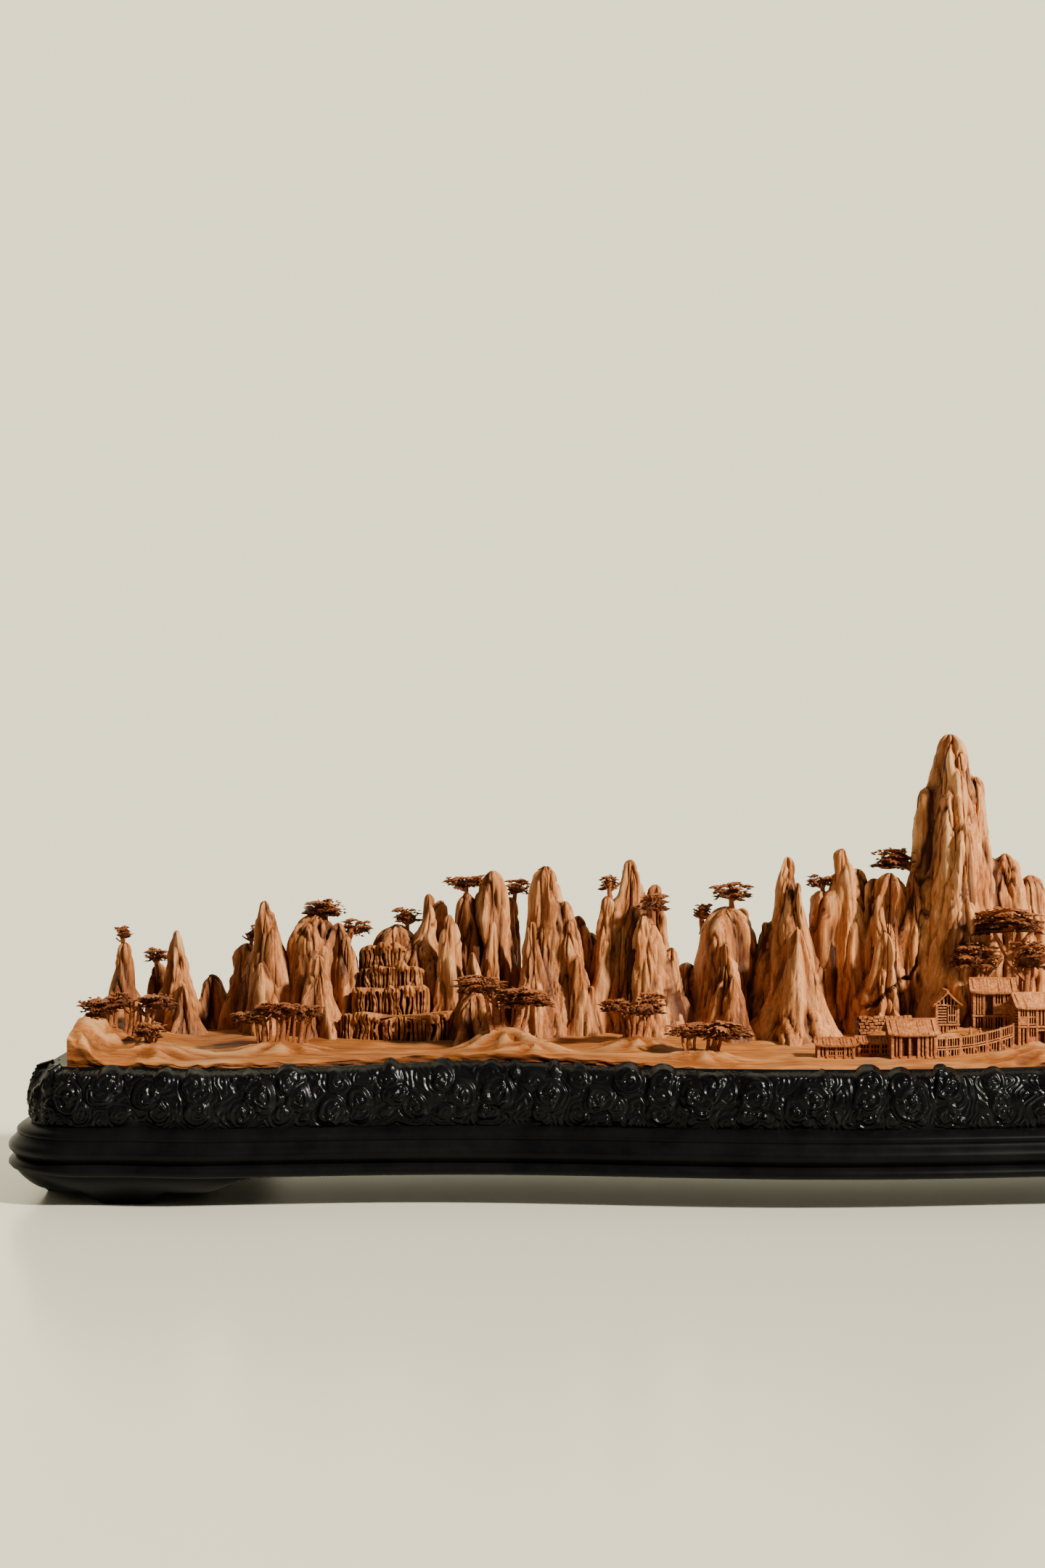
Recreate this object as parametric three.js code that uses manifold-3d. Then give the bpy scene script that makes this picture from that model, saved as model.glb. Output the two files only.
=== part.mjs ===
// A sandalwood log carved as a chain of river pinnacles, with pines, a stepped waterfall and a village,
// lying in the bed of a long black hardwood stand. Millimetres, +Z up, X along the log, -Y to the front.
import * as THREE from "three";
import { mergeVertices } from "three/addons/utils/BufferGeometryUtils.js";
import Module from "manifold-3d";

const wasm = await Module();
wasm.setup();

// Driving dimensions of the stand
const STAND_LENGTH = 1200;
const STAND_DEPTH = 232;
const CORNER_RADIUS = 54;
const ARCH_Z = 18; // underside of the stand between its feet
const RIM_Z = 77.5; // flat top of the stand, around the bed
const BED_Z = 74.7;
const BED_CUT_HEIGHT = 20; // clears everything above the bed's floor

// The stand and the log share one lazy wave along their edges
const WAVE_HEIGHT = 8;
const WAVE_LENGTH = 430;
const WAVE_START = -440;
const WAVE_FADE_FROM = 470;
const WAVE_FADE_TO = 530;

// Driving dimensions of the log
const LOG_LENGTH = 1124;
const LOG_HALF_DEPTH = 84;
const LOG_WAVE = 1.7; // the log's edge waves this much more than the stand's
const LOG_BOTTOM = 75;
const BED_CLEARANCE = 0.8;
const BED_CUTS = 32;
const GROUND_FRONT = 80; // height of the carved ground at the log's front edge
const GROUND_RISE = 6; // and how much it climbs towards the back
const GROUND_RISE_FROM = -70; // y where the climb begins, and how deep it is
const GROUND_RISE_DEPTH = 100;
const GROUND_CUTS = { along: 32, across: 5 };
const ROCK_ROOT = 77; // rocks start here, inside the log

const LOG_COLOUR = 0xb9763c;
const STAND_COLOUR = 0x141315;

// How a rock tapers: half width of its round tip over that of its foot, and power of the flank under it
const TAPERS = {
  needle: { tip: 0.13, power: 1.05 },
  spire: { tip: 0.18, power: 0.92 },
  horn: { tip: 0.27, power: 0.85 },
  post: { tip: 0.43, power: 0.75 },
  dome: { tip: 0.55, power: 0.62 },
  summit: { tip: 0.1, power: 0.58 },
};
// One row per rock, from the left: x, y and height of the tip, half width at the foot, taper,
// and how far the foot lies to the right of the tip
const ROCKS = [
  [-549, 30, 142, 15, "horn", -1],
  [-533, 55, 127, 9, "dome", 0],
  [-517, 35, 149, 19, "needle", 3],
  [-510, 18, 117, 13.5, "needle", 2],
  [-498, 60, 119, 17, "horn", 0],
  [-461, 35, 168, 20, "needle", 2],
  [-458, 37, 161, 12, "horn", 3],
  [-474, 48, 140, 13, "dome", -2],
  [-461, 15, 130, 16.5, "needle", 1],
  [-430, 46, 159, 24, "dome", 0],
  [-433, 32, 154, 7.5, "dome", 0],
  [-423, 34, 155, 6.5, "dome", 0],
  [-414, 33, 154, 12, "post", 4],
  [-408, 24, 146, 10, "horn", 1],
  [-424, 10, 135, 16, "spire", 1],
  [-378, 50, 152, 22, "dome", 0],
  [-357, 40, 172, 11.5, "horn", -2],
  [-350, 58, 167, 9, "post", 0],
  [-364, 44, 144, 26, "dome", 0],
  [-343, 18, 160, 13.5, "spire", 1],
  [-333, 40, 173, 15.5, "post", 0],
  [-316, 36, 187, 15, "dome", 0],
  [-315, 14, 156, 9, "needle", 0],
  [-305, 58, 169, 10.5, "post", 0],
  [-328, 8, 137, 11, "spire", 0],
  [-326, -5, 112, 16.5, "dome", 0],
  [-282, 38, 190, 23, "horn", 2],
  [-291, 12, 156, 17.5, "needle", 4],
  [-270, 30, 168, 13, "horn", 3],
  [-267, 22, 156, 10, "horn", 4],
  [-262, 12, 134, 8.5, "horn", 2],
  [-254, 8, 116, 6, "horn", 2],
  [-261, 58, 157, 13, "post", 0],
  [-253, 60, 146, 13, "dome", 0],
  [-228, 38, 194, 24, "spire", 0],
  [-243, 34, 171, 16, "horn", -3],
  [-212, 42, 178, 10.5, "post", 3],
  [-221, 16, 161, 19, "horn", 2],
  [-203, 24, 139, 14.5, "horn", 1],
  [-191, 54, 127, 12, "dome", 0],
  [-167, 40, 164, 24, "dome", -4],
  [-170, 14, 142, 16.5, "needle", 1],
  [-166, 2, 122, 12, "needle", 3],
  [-155, 58, 162, 8, "dome", 0],
  [-148, 60, 136, 14, "dome", 0],
  [-129, 32, 196, 21.5, "spire", 1],
  [-124, 20, 180, 12, "spire", 4],
  [-126, 6, 152, 26, "needle", 0],
  [-142, 40, 154, 10.5, "post", 0],
  [-93, 40, 201, 18.5, "horn", 3],
  [-106, 42, 174, 12, "dome", 0],
  [-83, 46, 188, 14, "post", 0],
  [-65, 26, 186, 13.5, "dome", -1],
  [-73, 38, 182, 11.5, "post", 0],
  [-71, 8, 151, 15, "spire", -1],
  [-25, 36, 274, 33, "summit", -1],
  [-40, 36, 240, 13, "post", -2],
  [-9, 36, 247, 14, "post", 2],
  [-20, 26, 262, 17, "horn", 6],
  [-28, 16, 236, 18, "spire", -2],
  [-22, 6, 218, 20, "needle", -4],
  [-50, 20, 186, 14, "spire", 0],
  [10, 36, 198, 15.5, "dome", 0],
  [27, 40, 184, 14.5, "dome", 1],
  // the right half, stepping down to the right end
  [50, 46, 192, 16, "horn", 2],
  [69, 32, 166, 15, "post", 1],
  [94, 46, 178, 17.5, "horn", -2],
  [118, 28, 150, 17, "horn", 2],
  [152, 38, 206, 22, "spire", 0],
  [160, 12, 152, 16.5, "spire", 2],
  [185, 44, 186, 17, "post", 0],
  [207, 24, 158, 16, "spire", 3],
  [236, 50, 149, 16, "post", 0],
  [266, 54, 122, 17, "dome", 0],
  [296, 36, 179, 20.5, "spire", 1],
  [304, 10, 133, 16, "spire", 2],
  [324, 46, 160, 16, "post", 0],
  [351, 30, 141, 16, "horn", 2],
  [386, 40, 169, 20.5, "spire", -1],
  [377, 12, 127, 16.5, "spire", 0],
  [413, 46, 146, 16, "post", 1],
  [446, 54, 117, 13.5, "post", 0],
  [478, 34, 151, 18.5, "spire", 2],
  [485, 14, 116, 13.5, "spire", 2],
  [521, 42, 128, 14.5, "horn", 0],
  [545, 20, 103, 11, "horn", 0],
];
const ROCK_MARGIN = 2; // no rock comes nearer to the log's ends and back
const ROCK_REACH = LOG_LENGTH / 2 - ROCK_MARGIN;
const ROCK_DEPTH = 1.2; // a rock's half depth over its half width
const TIP_HEIGHT = 1.2; // height of a tip's round over the tip's half width
const TIP_RING = 0.35; // the round is cut as one ring, this share of its height below the top
const WAIST_RING = 0.55; // and the flank as one ring, this share of the way down
const FOOT_FLARE = 0.3;
const FLARE_FADE = 12; // how fast the flare at the foot dies away upwards
const BUTTRESS_DEPTH = 0.1; // three buttresses and five clefts go round a rock, as shares of its radius
const CLEFT_DEPTH = 0.08;
// Sides of a rock by its half width; a ring of few sides is widened by this share of what its flats lose
const ROCK_SIDES = [
  { over: 24, sides: 8 },
  { over: 14, sides: 6 },
  { over: 0, sides: 5 },
];
const FLAT_SHARE = 0.5;

// One row per swelling of the ground: x, y, height, reach along x and along y
const MOUNDS = [
  [-552, 5, 24, 18, 46],
  [-562, -60, 17, 14, 40],
  [-540, -42, 5, 18, 14],
  [-512, -58, 7, 24, 16],
  [-441, -44, 6, 22, 12],
  [-308, -36, 14, 20, 16],
  [-290, -56, 6, 16, 10],
  [-228, -34, 7, 18, 12],
  [-190, -62, 5, 18, 10],
  [-78, -28, 9, 22, 12],
  [-20, -28, 10, 42, 20],
  [10, -68, 8, 26, 14],
  [130, -40, 9, 28, 16],
  [262, -38, 10, 24, 16],
  [352, -46, 7, 26, 12],
  [440, -40, 8, 22, 14],
  [535, -10, 12, 26, 40],
];

// One row per foliage pad: x, y, height of its middle, half width, thickness
const PADS = [
  [-551, -38, 109, 11.5, 8],
  [-538, -36, 112, 7, 8],
  [-518, -36, 111, 13.5, 8],
  [-519, -55, 96, 9.5, 7],
  [-461, -40, 102, 10, 6],
  [-443, -40, 106, 13, 7],
  [-426, -36, 105, 8, 6],
  [-322, -38, 121, 14.5, 9],
  [-297, -38, 114, 18, 9],
  [-241, -30, 108, 9.5, 6],
  [-222, -28, 108, 11, 12],
  [-202, -58, 96, 9, 6],
  [-180, -58, 96, 17, 8],
  [-550, 30, 148, 5, 6],
  [-534, 55, 132, 7.5, 7],
  [-470, 50, 147, 4, 7],
  [-424, 46, 163, 13, 8],
  [-403, 38, 151, 8.5, 8],
  [-371, 48, 158, 8, 8],
  [-334, 38, 180, 11, 6],
  [-300, 57, 176, 8, 8],
  [-242, 36, 180, 6, 8],
  [-215, 18, 168, 9.5, 9],
  [-164, 40, 174, 11.5, 9],
  [-182, 46, 161, 5.5, 8],
  [-106, 44, 180, 7.5, 6],
  [-60, 34, 195, 14, 12],
  [2, -5, 158, 23.5, 13],
  [-18, -10, 137, 16, 14],
  [17, -5, 137, 12.5, 15],
  [128, -38, 112, 13, 7],
  [146, -40, 109, 9, 6],
  [68, 32, 172, 8, 7],
  [184, 44, 193, 11, 8],
  [236, 50, 156, 9, 7],
  [350, -46, 106, 15, 7],
  [324, 46, 167, 8, 7],
  [414, 46, 152, 9, 7],
  [441, -40, 106, 12, 7],
  [521, 42, 134, 6, 6],
];
const PAD_SIDES = 6;
const PAD_JAG = 0.2; // depth of the notches around a pad
const PAD_DEPTH = 0.75; // a pad's half depth over its half width
// Profile of a pad: share of its half width, share of its thickness above its middle
const PAD_PROFILE = [
  [0, -0.45],
  [1, -0.15],
  [0.72, 0.35],
  [0, 0.5],
];

// One row per trunk: x and y, foot height, top height, radius, sideways lean of its top
const TRUNKS = [
  [-545, -38, 76, 109, 2, -3],
  [-534, -38, 76, 111, 1.8, 3],
  [-526, -37, 76, 110, 1.8, 5],
  [-518, -55, 76, 95, 1.8, 0],
  [-452, -40, 76, 104, 2, -3],
  [-442, -40, 76, 105, 2, 2],
  [-431, -38, 76, 104, 1.6, 4],
  [-312, -38, 76, 119, 2.4, -5],
  [-301, -38, 76, 113, 2, 4],
  [-231, -30, 76, 107, 2, -6],
  [-227, -30, 76, 108, 2, 4],
  [-197, -58, 76, 95, 1.7, -2],
  [-184, -58, 76, 96, 2, 2],
  [-550, 30, 134, 146, 1.5, 0],
  [-533, 55, 118, 131, 2.2, 0],
  [-470.5, 49, 130, 147, 1.6, 0],
  [-428, 46, 148, 162, 1.8, 1],
  [-422, 46, 148, 162, 1.8, 0],
  [-408, 32, 132, 150, 2, 4],
  [-371, 49, 142, 157, 1.8, 0],
  [-332.5, 38, 164, 179, 1.8, -1],
  [-303, 58, 160, 176, 1.8, 2],
  [-241, 34, 162, 180, 2, -1],
  [-217, 18, 154, 168, 2, 0],
  [-164, 40, 156, 173, 2.2, 0],
  [-181, 44, 146, 161, 2.2, -1],
  [-104.5, 43, 166, 180, 1.8, -1],
  [-44, 34, 185, 193, 3.5, -20],
  [4, -4, 76, 158, 3.4, 0],
  [-21, -10, 76, 136, 1.8, -2],
  [-14, -8, 76, 136, 1.8, 2],
  [12, -4, 76, 136, 2.6, 6],
  [133, -38, 76, 111, 2.2, -3],
  [141, -40, 76, 108, 1.8, 4],
  [68, 32, 158, 171, 1.8, 0],
  [184, 44, 178, 192, 2, 0],
  [236, 50, 142, 155, 1.8, 0],
  [350, -46, 76, 105, 2.2, 0],
  [324, 46, 152, 166, 1.8, 0],
  [414, 46, 138, 152, 1.8, 0],
  [441, -40, 76, 105, 2, 0],
  [521, 42, 120, 134, 1.6, 0],
];
const TRUNK_SIDES = 4;
const TRUNK_TAPER = 0.8; // a trunk's top radius over its foot's

// Waterfall tiers, lowest first: left and right end, front, top
const TIERS = [
  { left: -410, right: -338, front: -3, top: 102 },
  { left: -404, right: -355, front: 9, top: 116.5 },
  { left: -401, right: -358, front: 19, top: 130.5 },
  { left: -401, right: -371, front: 28, top: 142 },
];
const FALL_BACK = 46; // all tiers run back into the rock here
const TIER_BOW = 8; // a tier bulges this far forward at its middle
const STRAND_PITCH = 8;
const STRAND_DEPTH = 2.6;

// Village: x and y of each house, turn in degrees, width along x, depth, floor, eaves and ridge heights
const HOUSES = [
  [-111.5, -58, 0, 21, 9, 77, 88.5, 91],
  [-87, -50, 0, 19, 8, 77, 89, 91],
  [-66, -56, 3, 26, 15, 77, 95, 102],
  [-39, -20, 90, 16, 13, 84, 108, 116],
  [-10, -20, -4, 24, 15, 86, 116.5, 123],
  [14, -34, 8, 28, 14, 84, 108.5, 115.5],
  [48, -30, 6, 24, 14, 78, 103, 110],
  [78, -44, 2, 22, 13, 77, 94, 101],
  [262, -38, 4, 22, 14, 84, 104, 111],
];
const EAVE = 2.2;
const ROOF_THICKNESS = 1.6;
const FENCE = { left: -54, right: -4, y: -60, bow: 10, bottom: 77, height: 15, lift: 7, thickness: 2.4 };
const FENCE_CUTS = 6;

// Carved band of the stand: bosses of the rolling scrolls, in rows of their height and radius
const SCROLL_ROWS = [
  { z: 70, inset: 14.5, radius: 13, pitch: 58, shift: 0, sides: [-1, 1] },
  { z: 56, inset: 10.5, radius: 10.5, pitch: 58, shift: 29, sides: [-1] },
];
const SCROLL_CUTS = 5;
const SCROLL_STAND_OUT = 2.6;
const SCROLL_ROOT = 6;
const SCROLL_FLATTENING = 0.7;
const SCROLL_FACE = 0.75; // a boss narrows to this share of its foot

// Profile of the stand, from the underside's middle up to the top's: inset from the plan's edge, height
const STAND_PROFILE = [
  [6, ARCH_Z],
  [0, 20],
  [0, 24.5],
  [4, 26],
  [0, 31],
  [4.5, 37.5],
  [4.5, 42],
  [11, 45],
  [10, 58],
  [14, 71],
  [20, RIM_Z + 3],
  [30, RIM_Z],
];

// Feet: distance from the middle of a long side, and of a short side, where each foot changes height
const FOOT_SHOULDER_Z = 8;
const FOOT_END_Z = ARCH_Z - 0.5; // a foot runs out just under the body
const FOOT_LONG_SIDE = [
  { from: 452, z: FOOT_END_Z },
  { from: 476, z: FOOT_SHOULDER_Z },
  { from: 502, z: FOOT_SHOULDER_Z },
  { from: 516, z: 0 },
  { from: 536, z: 0 },
];
const FOOT_SHORT_SIDE = [
  { from: 52, z: 0 },
  { from: 38, z: 0 },
  { from: 28, z: FOOT_SHOULDER_Z },
  { from: 12, z: FOOT_SHOULDER_Z },
  { from: 2, z: FOOT_END_Z },
];
const FOOT_LAP = 1.3; // how far a foot reaches into the body
const FOOT_INSETS = { top: 6, waist: 10, sole: 19, inner: 48 };
const FOOT_WAIST_Z = 13;
const CORNER_CUTS = 5;
const SIDE_CUTS = 18;
const END_CUTS = 2;

const smooth = (t) => {
  const c = Math.min(1, Math.max(0, t));
  return c * c * (3 - 2 * c);
};

// The lazy wave of the front edges; the back edges carry the same wave turned half round
function wave(x) {
  const fade = 1 - smooth((Math.abs(x) - WAVE_FADE_FROM) / (WAVE_FADE_TO - WAVE_FADE_FROM));
  return WAVE_HEIGHT * fade * Math.sin((2 * Math.PI * (x - WAVE_START)) / WAVE_LENGTH);
}
const logFront = (x) => -LOG_HALF_DEPTH + LOG_WAVE * wave(x);
const logBack = (x) => LOG_HALF_DEPTH - LOG_WAVE * wave(-x);

function groundHeight(x, y) {
  const slope = GROUND_FRONT + GROUND_RISE * smooth((y - GROUND_RISE_FROM) / GROUND_RISE_DEPTH);
  return MOUNDS.reduce(
    (z, [mx, my, height, rx, ry]) => z + height * Math.exp(-(((x - mx) / rx) ** 2) - ((y - my) / ry) ** 2),
    slope,
  );
}

// Geometry with only its merged positions, as a solid for joining and cutting
const SAME_POINT = 1e-3;
function solidOf(geometry) {
  const bare = geometry.index ? geometry.toNonIndexed() : geometry.clone();
  bare.deleteAttribute("normal");
  bare.deleteAttribute("uv");
  const merged = mergeVertices(bare, SAME_POINT);
  return new wasm.Manifold(
    new wasm.Mesh({
      numProp: 3,
      vertProperties: merged.attributes.position.array,
      triVerts: new Uint32Array(merged.index.array),
    }),
  );
}

function geometryOf(solid) {
  const mesh = solid.getMesh();
  const geometry = new THREE.BufferGeometry();
  geometry.setAttribute("position", new THREE.BufferAttribute(mesh.vertProperties, mesh.numProp));
  geometry.setIndex(new THREE.BufferAttribute(mesh.triVerts, 1));
  geometry.computeVertexNormals();
  return geometry;
}

// A turned shape whose vertices are then placed by a function of the turn (0 to 1) and the profile point
function turned(profile, sides, place) {
  const geometry = new THREE.LatheGeometry(
    profile.map(([r, h]) => new THREE.Vector2(r, h)),
    sides,
  );
  const position = geometry.attributes.position;
  for (let side = 0; side <= sides; side += 1)
    profile.forEach((point, row) => {
      const [x, y, z] = place((side % sides) / sides, point, row);
      position.setXYZ(side * profile.length + row, x, y, z);
    });
  return solidOf(geometry);
}

// Share of the foot's half width that a rock keeps this far down from its top: a round tip, then a flank
// that spreads down to the flared foot
function rockTaper(down, tall, halfWidth, { tip, power }) {
  const cap = Math.min(1, down / (TIP_HEIGHT * tip * halfWidth));
  const deep = down / tall;
  const flare = FOOT_FLARE * Math.exp(-FLARE_FADE * (1 - deep)) * deep;
  return tip * Math.sqrt(cap * (2 - cap)) + (1 - tip) * deep ** power + flare;
}

// Buttresses and clefts around a rock, as a share of its radius
function buttress(angle, h, seed) {
  const buttresses = BUTTRESS_DEPTH * Math.sin(3 * angle + 2.4 * seed);
  return buttresses + CLEFT_DEPTH * Math.sin(5 * angle + 1.7 * seed + 1.2 * h);
}

function rock([x, y, top, halfWidth, taper, lean], seed) {
  const shape = TAPERS[taper];
  const { sides } = ROCK_SIDES.find(({ over }) => halfWidth >= over);
  const widening = 1 / Math.cos(Math.PI / sides) ** FLAT_SHARE;
  const tall = top - ROCK_ROOT;
  const depths = [tall, WAIST_RING * tall, TIP_RING * TIP_HEIGHT * shape.tip * halfWidth];
  const rings = depths.map((down) => [rockTaper(down, tall, halfWidth, shape), down]);
  return turned([[0, tall], ...rings, [0, 0]], sides, (turn, [radius, down]) => {
    const angle = 2 * Math.PI * turn;
    const h = 1 - down / tall;
    const reach = halfWidth * radius * widening * (1 + buttress(angle, h, seed));
    const across = x + lean * (1 - h) + reach * Math.cos(angle);
    const deep = y + ROCK_DEPTH * reach * Math.sin(angle);
    return [
      THREE.MathUtils.clamp(across, -ROCK_REACH, ROCK_REACH),
      Math.min(deep, logBack(across) - ROCK_MARGIN),
      top - down,
    ];
  });
}

function ground() {
  const { along, across } = GROUND_CUTS;
  const box = new THREE.BoxGeometry(LOG_LENGTH, 1, 1, along, across, 1);
  const position = box.attributes.position;
  for (let i = 0; i < position.count; i += 1) {
    const x = position.getX(i);
    const share = position.getY(i) + 0.5;
    const y = logFront(x) + share * (logBack(x) - logFront(x));
    position.setXYZ(i, x, y, position.getZ(i) > 0 ? groundHeight(x, y) : LOG_BOTTOM);
  }
  return solidOf(box);
}

function foliagePad([x, y, z, halfWidth, thickness], seed) {
  return turned(PAD_PROFILE, PAD_SIDES, (turn, [radius, h], row) => {
    const angle = 2 * Math.PI * turn;
    const jag = 1 + PAD_JAG * Math.cos((PAD_SIDES / 2) * angle + seed + row);
    const reach = halfWidth * radius * jag;
    return [x + reach * Math.cos(angle), y + PAD_DEPTH * reach * Math.sin(angle), z + h * thickness];
  });
}

function trunk([x, y, foot, top, radius, lean]) {
  const cylinder = new THREE.CylinderGeometry(TRUNK_TAPER * radius, radius, top - foot, TRUNK_SIDES);
  cylinder.rotateX(Math.PI / 2);
  const position = cylinder.attributes.position;
  for (let i = 0; i < position.count; i += 1) {
    const share = position.getZ(i) / (top - foot) + 0.5;
    position.setXYZ(
      i,
      position.getX(i) + x + lean * share,
      position.getY(i) + y,
      foot + share * (top - foot),
    );
  }
  return solidOf(cylinder);
}

// A tier's plan has a bowed front edge pleated into falling strands
function waterfallTier({ left, right, front, top }) {
  const width = right - left;
  const pleats = 2 * Math.round(width / STRAND_PITCH);
  const plan = new THREE.Shape();
  plan.moveTo(right, FALL_BACK);
  plan.lineTo(left, FALL_BACK);
  for (let i = 0; i <= pleats; i += 1) {
    const share = i / pleats;
    const bow = TIER_BOW * Math.sin(Math.PI * share);
    plan.lineTo(left + width * share, front - bow + (i % 2 ? 0 : STRAND_DEPTH));
  }
  const block = new THREE.ExtrudeGeometry(plan, { depth: top - ROCK_ROOT, bevelEnabled: false });
  block.translate(0, 0, ROCK_ROOT);
  return solidOf(block);
}

function house([x, y, turnDegrees, width, depth, floor, eaves, ridge]) {
  const wall = new THREE.BoxGeometry(width, depth, eaves - floor);
  wall.translate(0, 0, (floor + eaves) / 2);
  const gable = new THREE.Shape();
  const reach = depth / 2 + EAVE;
  gable.moveTo(-reach, 0);
  gable.lineTo(reach, 0);
  gable.lineTo(0, ridge - eaves + ROOF_THICKNESS);
  const roof = new THREE.ExtrudeGeometry(gable, { depth: width + 2 * EAVE, bevelEnabled: false });
  roof.translate(0, 0, -width / 2 - EAVE);
  roof.rotateX(Math.PI / 2);
  roof.rotateZ(Math.PI / 2);
  roof.translate(0, 0, eaves - ROOF_THICKNESS);
  const place = (geometry) => {
    geometry.rotateZ(THREE.MathUtils.degToRad(turnDegrees));
    geometry.translate(x, y, 0);
    return solidOf(geometry);
  };
  return [place(wall), place(roof)];
}

function fence() {
  const { left, right, y, bow, bottom, height, lift, thickness } = FENCE;
  const box = new THREE.BoxGeometry(right - left, thickness, 1, FENCE_CUTS, 1, 1);
  const position = box.attributes.position;
  for (let i = 0; i < position.count; i += 1) {
    const share = position.getX(i) / (right - left) + 0.5;
    const rise = lift * share * share;
    position.setXYZ(
      i,
      left + share * (right - left),
      y + bow * share * share + position.getY(i),
      position.getZ(i) > 0 ? bottom + height + rise : bottom,
    );
  }
  return solidOf(box);
}

// The stand's plan: a long rectangle with round corners and waved sides, as points with outward normals
function standPlan() {
  const halfLength = STAND_LENGTH / 2 - CORNER_RADIUS;
  const halfDepth = STAND_DEPTH / 2 - CORNER_RADIUS;
  const half = [];
  for (let i = 0; i < SIDE_CUTS; i += 1)
    half.push([-halfLength + (2 * halfLength * i) / SIDE_CUTS, -STAND_DEPTH / 2, 0, -1]);
  for (let i = 0; i < CORNER_CUTS; i += 1) {
    const angle = -Math.PI / 2 + (Math.PI / 2) * (i / CORNER_CUTS);
    const [nx, ny] = [Math.cos(angle), Math.sin(angle)];
    half.push([halfLength + CORNER_RADIUS * nx, -halfDepth + CORNER_RADIUS * ny, nx, ny]);
  }
  for (let i = 0; i < END_CUTS; i += 1)
    half.push([STAND_LENGTH / 2, -halfDepth + (2 * halfDepth * i) / END_CUTS, 1, 0]);
  for (let i = 0; i < CORNER_CUTS; i += 1) {
    const angle = (Math.PI / 2) * (i / CORNER_CUTS);
    const [nx, ny] = [Math.cos(angle), Math.sin(angle)];
    half.push([halfLength + CORNER_RADIUS * nx, halfDepth + CORNER_RADIUS * ny, nx, ny]);
  }
  // the first half ends on the far corner, and the second half is the first turned half round
  const waved = half.map(([x, y, nx, ny]) => [x, ny === -1 ? y + wave(x) : y, nx, ny]);
  return [...waved, ...waved.map(([x, y, nx, ny]) => [-x, -y, -nx, -ny])];
}

function standBody(plan) {
  const profile = [[0, ARCH_Z], ...STAND_PROFILE, [0, RIM_Z]];
  return turned(profile, plan.length, (turn, [inset, z], row) => {
    if (row === 0 || row === profile.length - 1) return [0, 0, z];
    const [x, y, nx, ny] = plan[Math.round(turn * plan.length)];
    return [x - nx * inset, y - ny * inset, z];
  });
}

// A corner foot: the plan's edge followed round one corner, with a scalloped lower edge
function cornerFoot(mirrorX, mirrorY) {
  const halfLength = STAND_LENGTH / 2 - CORNER_RADIUS;
  const halfDepth = STAND_DEPTH / 2 - CORNER_RADIUS;
  const longEdge = (x) => STAND_DEPTH / 2 - wave(-mirrorX * mirrorY * x);
  const stations = FOOT_LONG_SIDE.map(({ from, z }) => [from, longEdge(from), 0, 1, z]);
  for (let i = 1; i < CORNER_CUTS; i += 1) {
    const angle = Math.PI / 2 - (Math.PI / 2) * (i / CORNER_CUTS);
    const [nx, ny] = [Math.cos(angle), Math.sin(angle)];
    const height = FOOT_SHOULDER_Z * Math.sin((Math.PI * i) / CORNER_CUTS);
    stations.push([halfLength + CORNER_RADIUS * nx, halfDepth + CORNER_RADIUS * ny, nx, ny, height]);
  }
  FOOT_SHORT_SIDE.forEach(({ from, z }) => stations.push([STAND_LENGTH / 2, from, 1, 0, z]));
  const { top, waist, sole, inner } = FOOT_INSETS;
  const section = ([x, y, nx, ny, z]) =>
    [
      [inner, ARCH_Z + FOOT_LAP],
      [top, ARCH_Z + FOOT_LAP],
      [waist, Math.max(z, FOOT_WAIST_Z)],
      [sole, z],
      [inner, z],
    ].map(([inset, h]) => new THREE.Vector3(mirrorX * (x - nx * inset), mirrorY * (y - ny * inset), h));
  const rings = stations.map(section);
  const corners = rings[0].length;
  const vertices = rings.flat();
  const faces = [];
  for (let i = 0; i + 1 < rings.length; i += 1)
    for (let j = 0; j < corners; j += 1) {
      const next = (j + 1) % corners;
      const [a, b] = [i * corners + j, i * corners + next];
      faces.push([a, b, b + corners], [a, b + corners, a + corners]);
    }
  const last = (rings.length - 1) * corners;
  for (let j = 1; j + 1 < corners; j += 1) faces.push([0, j + 1, j], [last, last + j, last + j + 1]);
  const outward = mirrorX * mirrorY > 0 ? faces.map(([a, b, c]) => [a, c, b]) : faces;
  const geometry = new THREE.BufferGeometry().setFromPoints(vertices);
  geometry.setIndex(outward.flat());
  return solidOf(geometry);
}

// Domed bosses of the scrolls along the carved band: two rows in front, and one at the back
function scrollBosses() {
  const reach = STAND_LENGTH / 2 - CORNER_RADIUS;
  const profile = [
    [0, -SCROLL_ROOT],
    [1, -SCROLL_ROOT],
    [SCROLL_FACE, SCROLL_STAND_OUT],
    [0, SCROLL_STAND_OUT],
  ];
  const boss = (x, z, inset, radius, side) =>
    turned(profile, SCROLL_CUTS, (turn, [r, out]) => {
      const angle = -2 * Math.PI * turn * side;
      const edge = side * (STAND_DEPTH / 2 - inset - wave(-side * x));
      const up = SCROLL_FLATTENING * radius * r * Math.sin(angle);
      return [x + radius * r * Math.cos(angle), edge + side * out, z + up];
    });
  return SCROLL_ROWS.flatMap(({ z, inset, radius, pitch, shift, sides }) => {
    const count = Math.floor((2 * reach - shift) / pitch) + 1;
    return sides.flatMap((side) =>
      Array.from({ length: count }, (_, i) => boss(shift - reach + i * pitch, z, inset, radius, side)),
    );
  });
}

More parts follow.
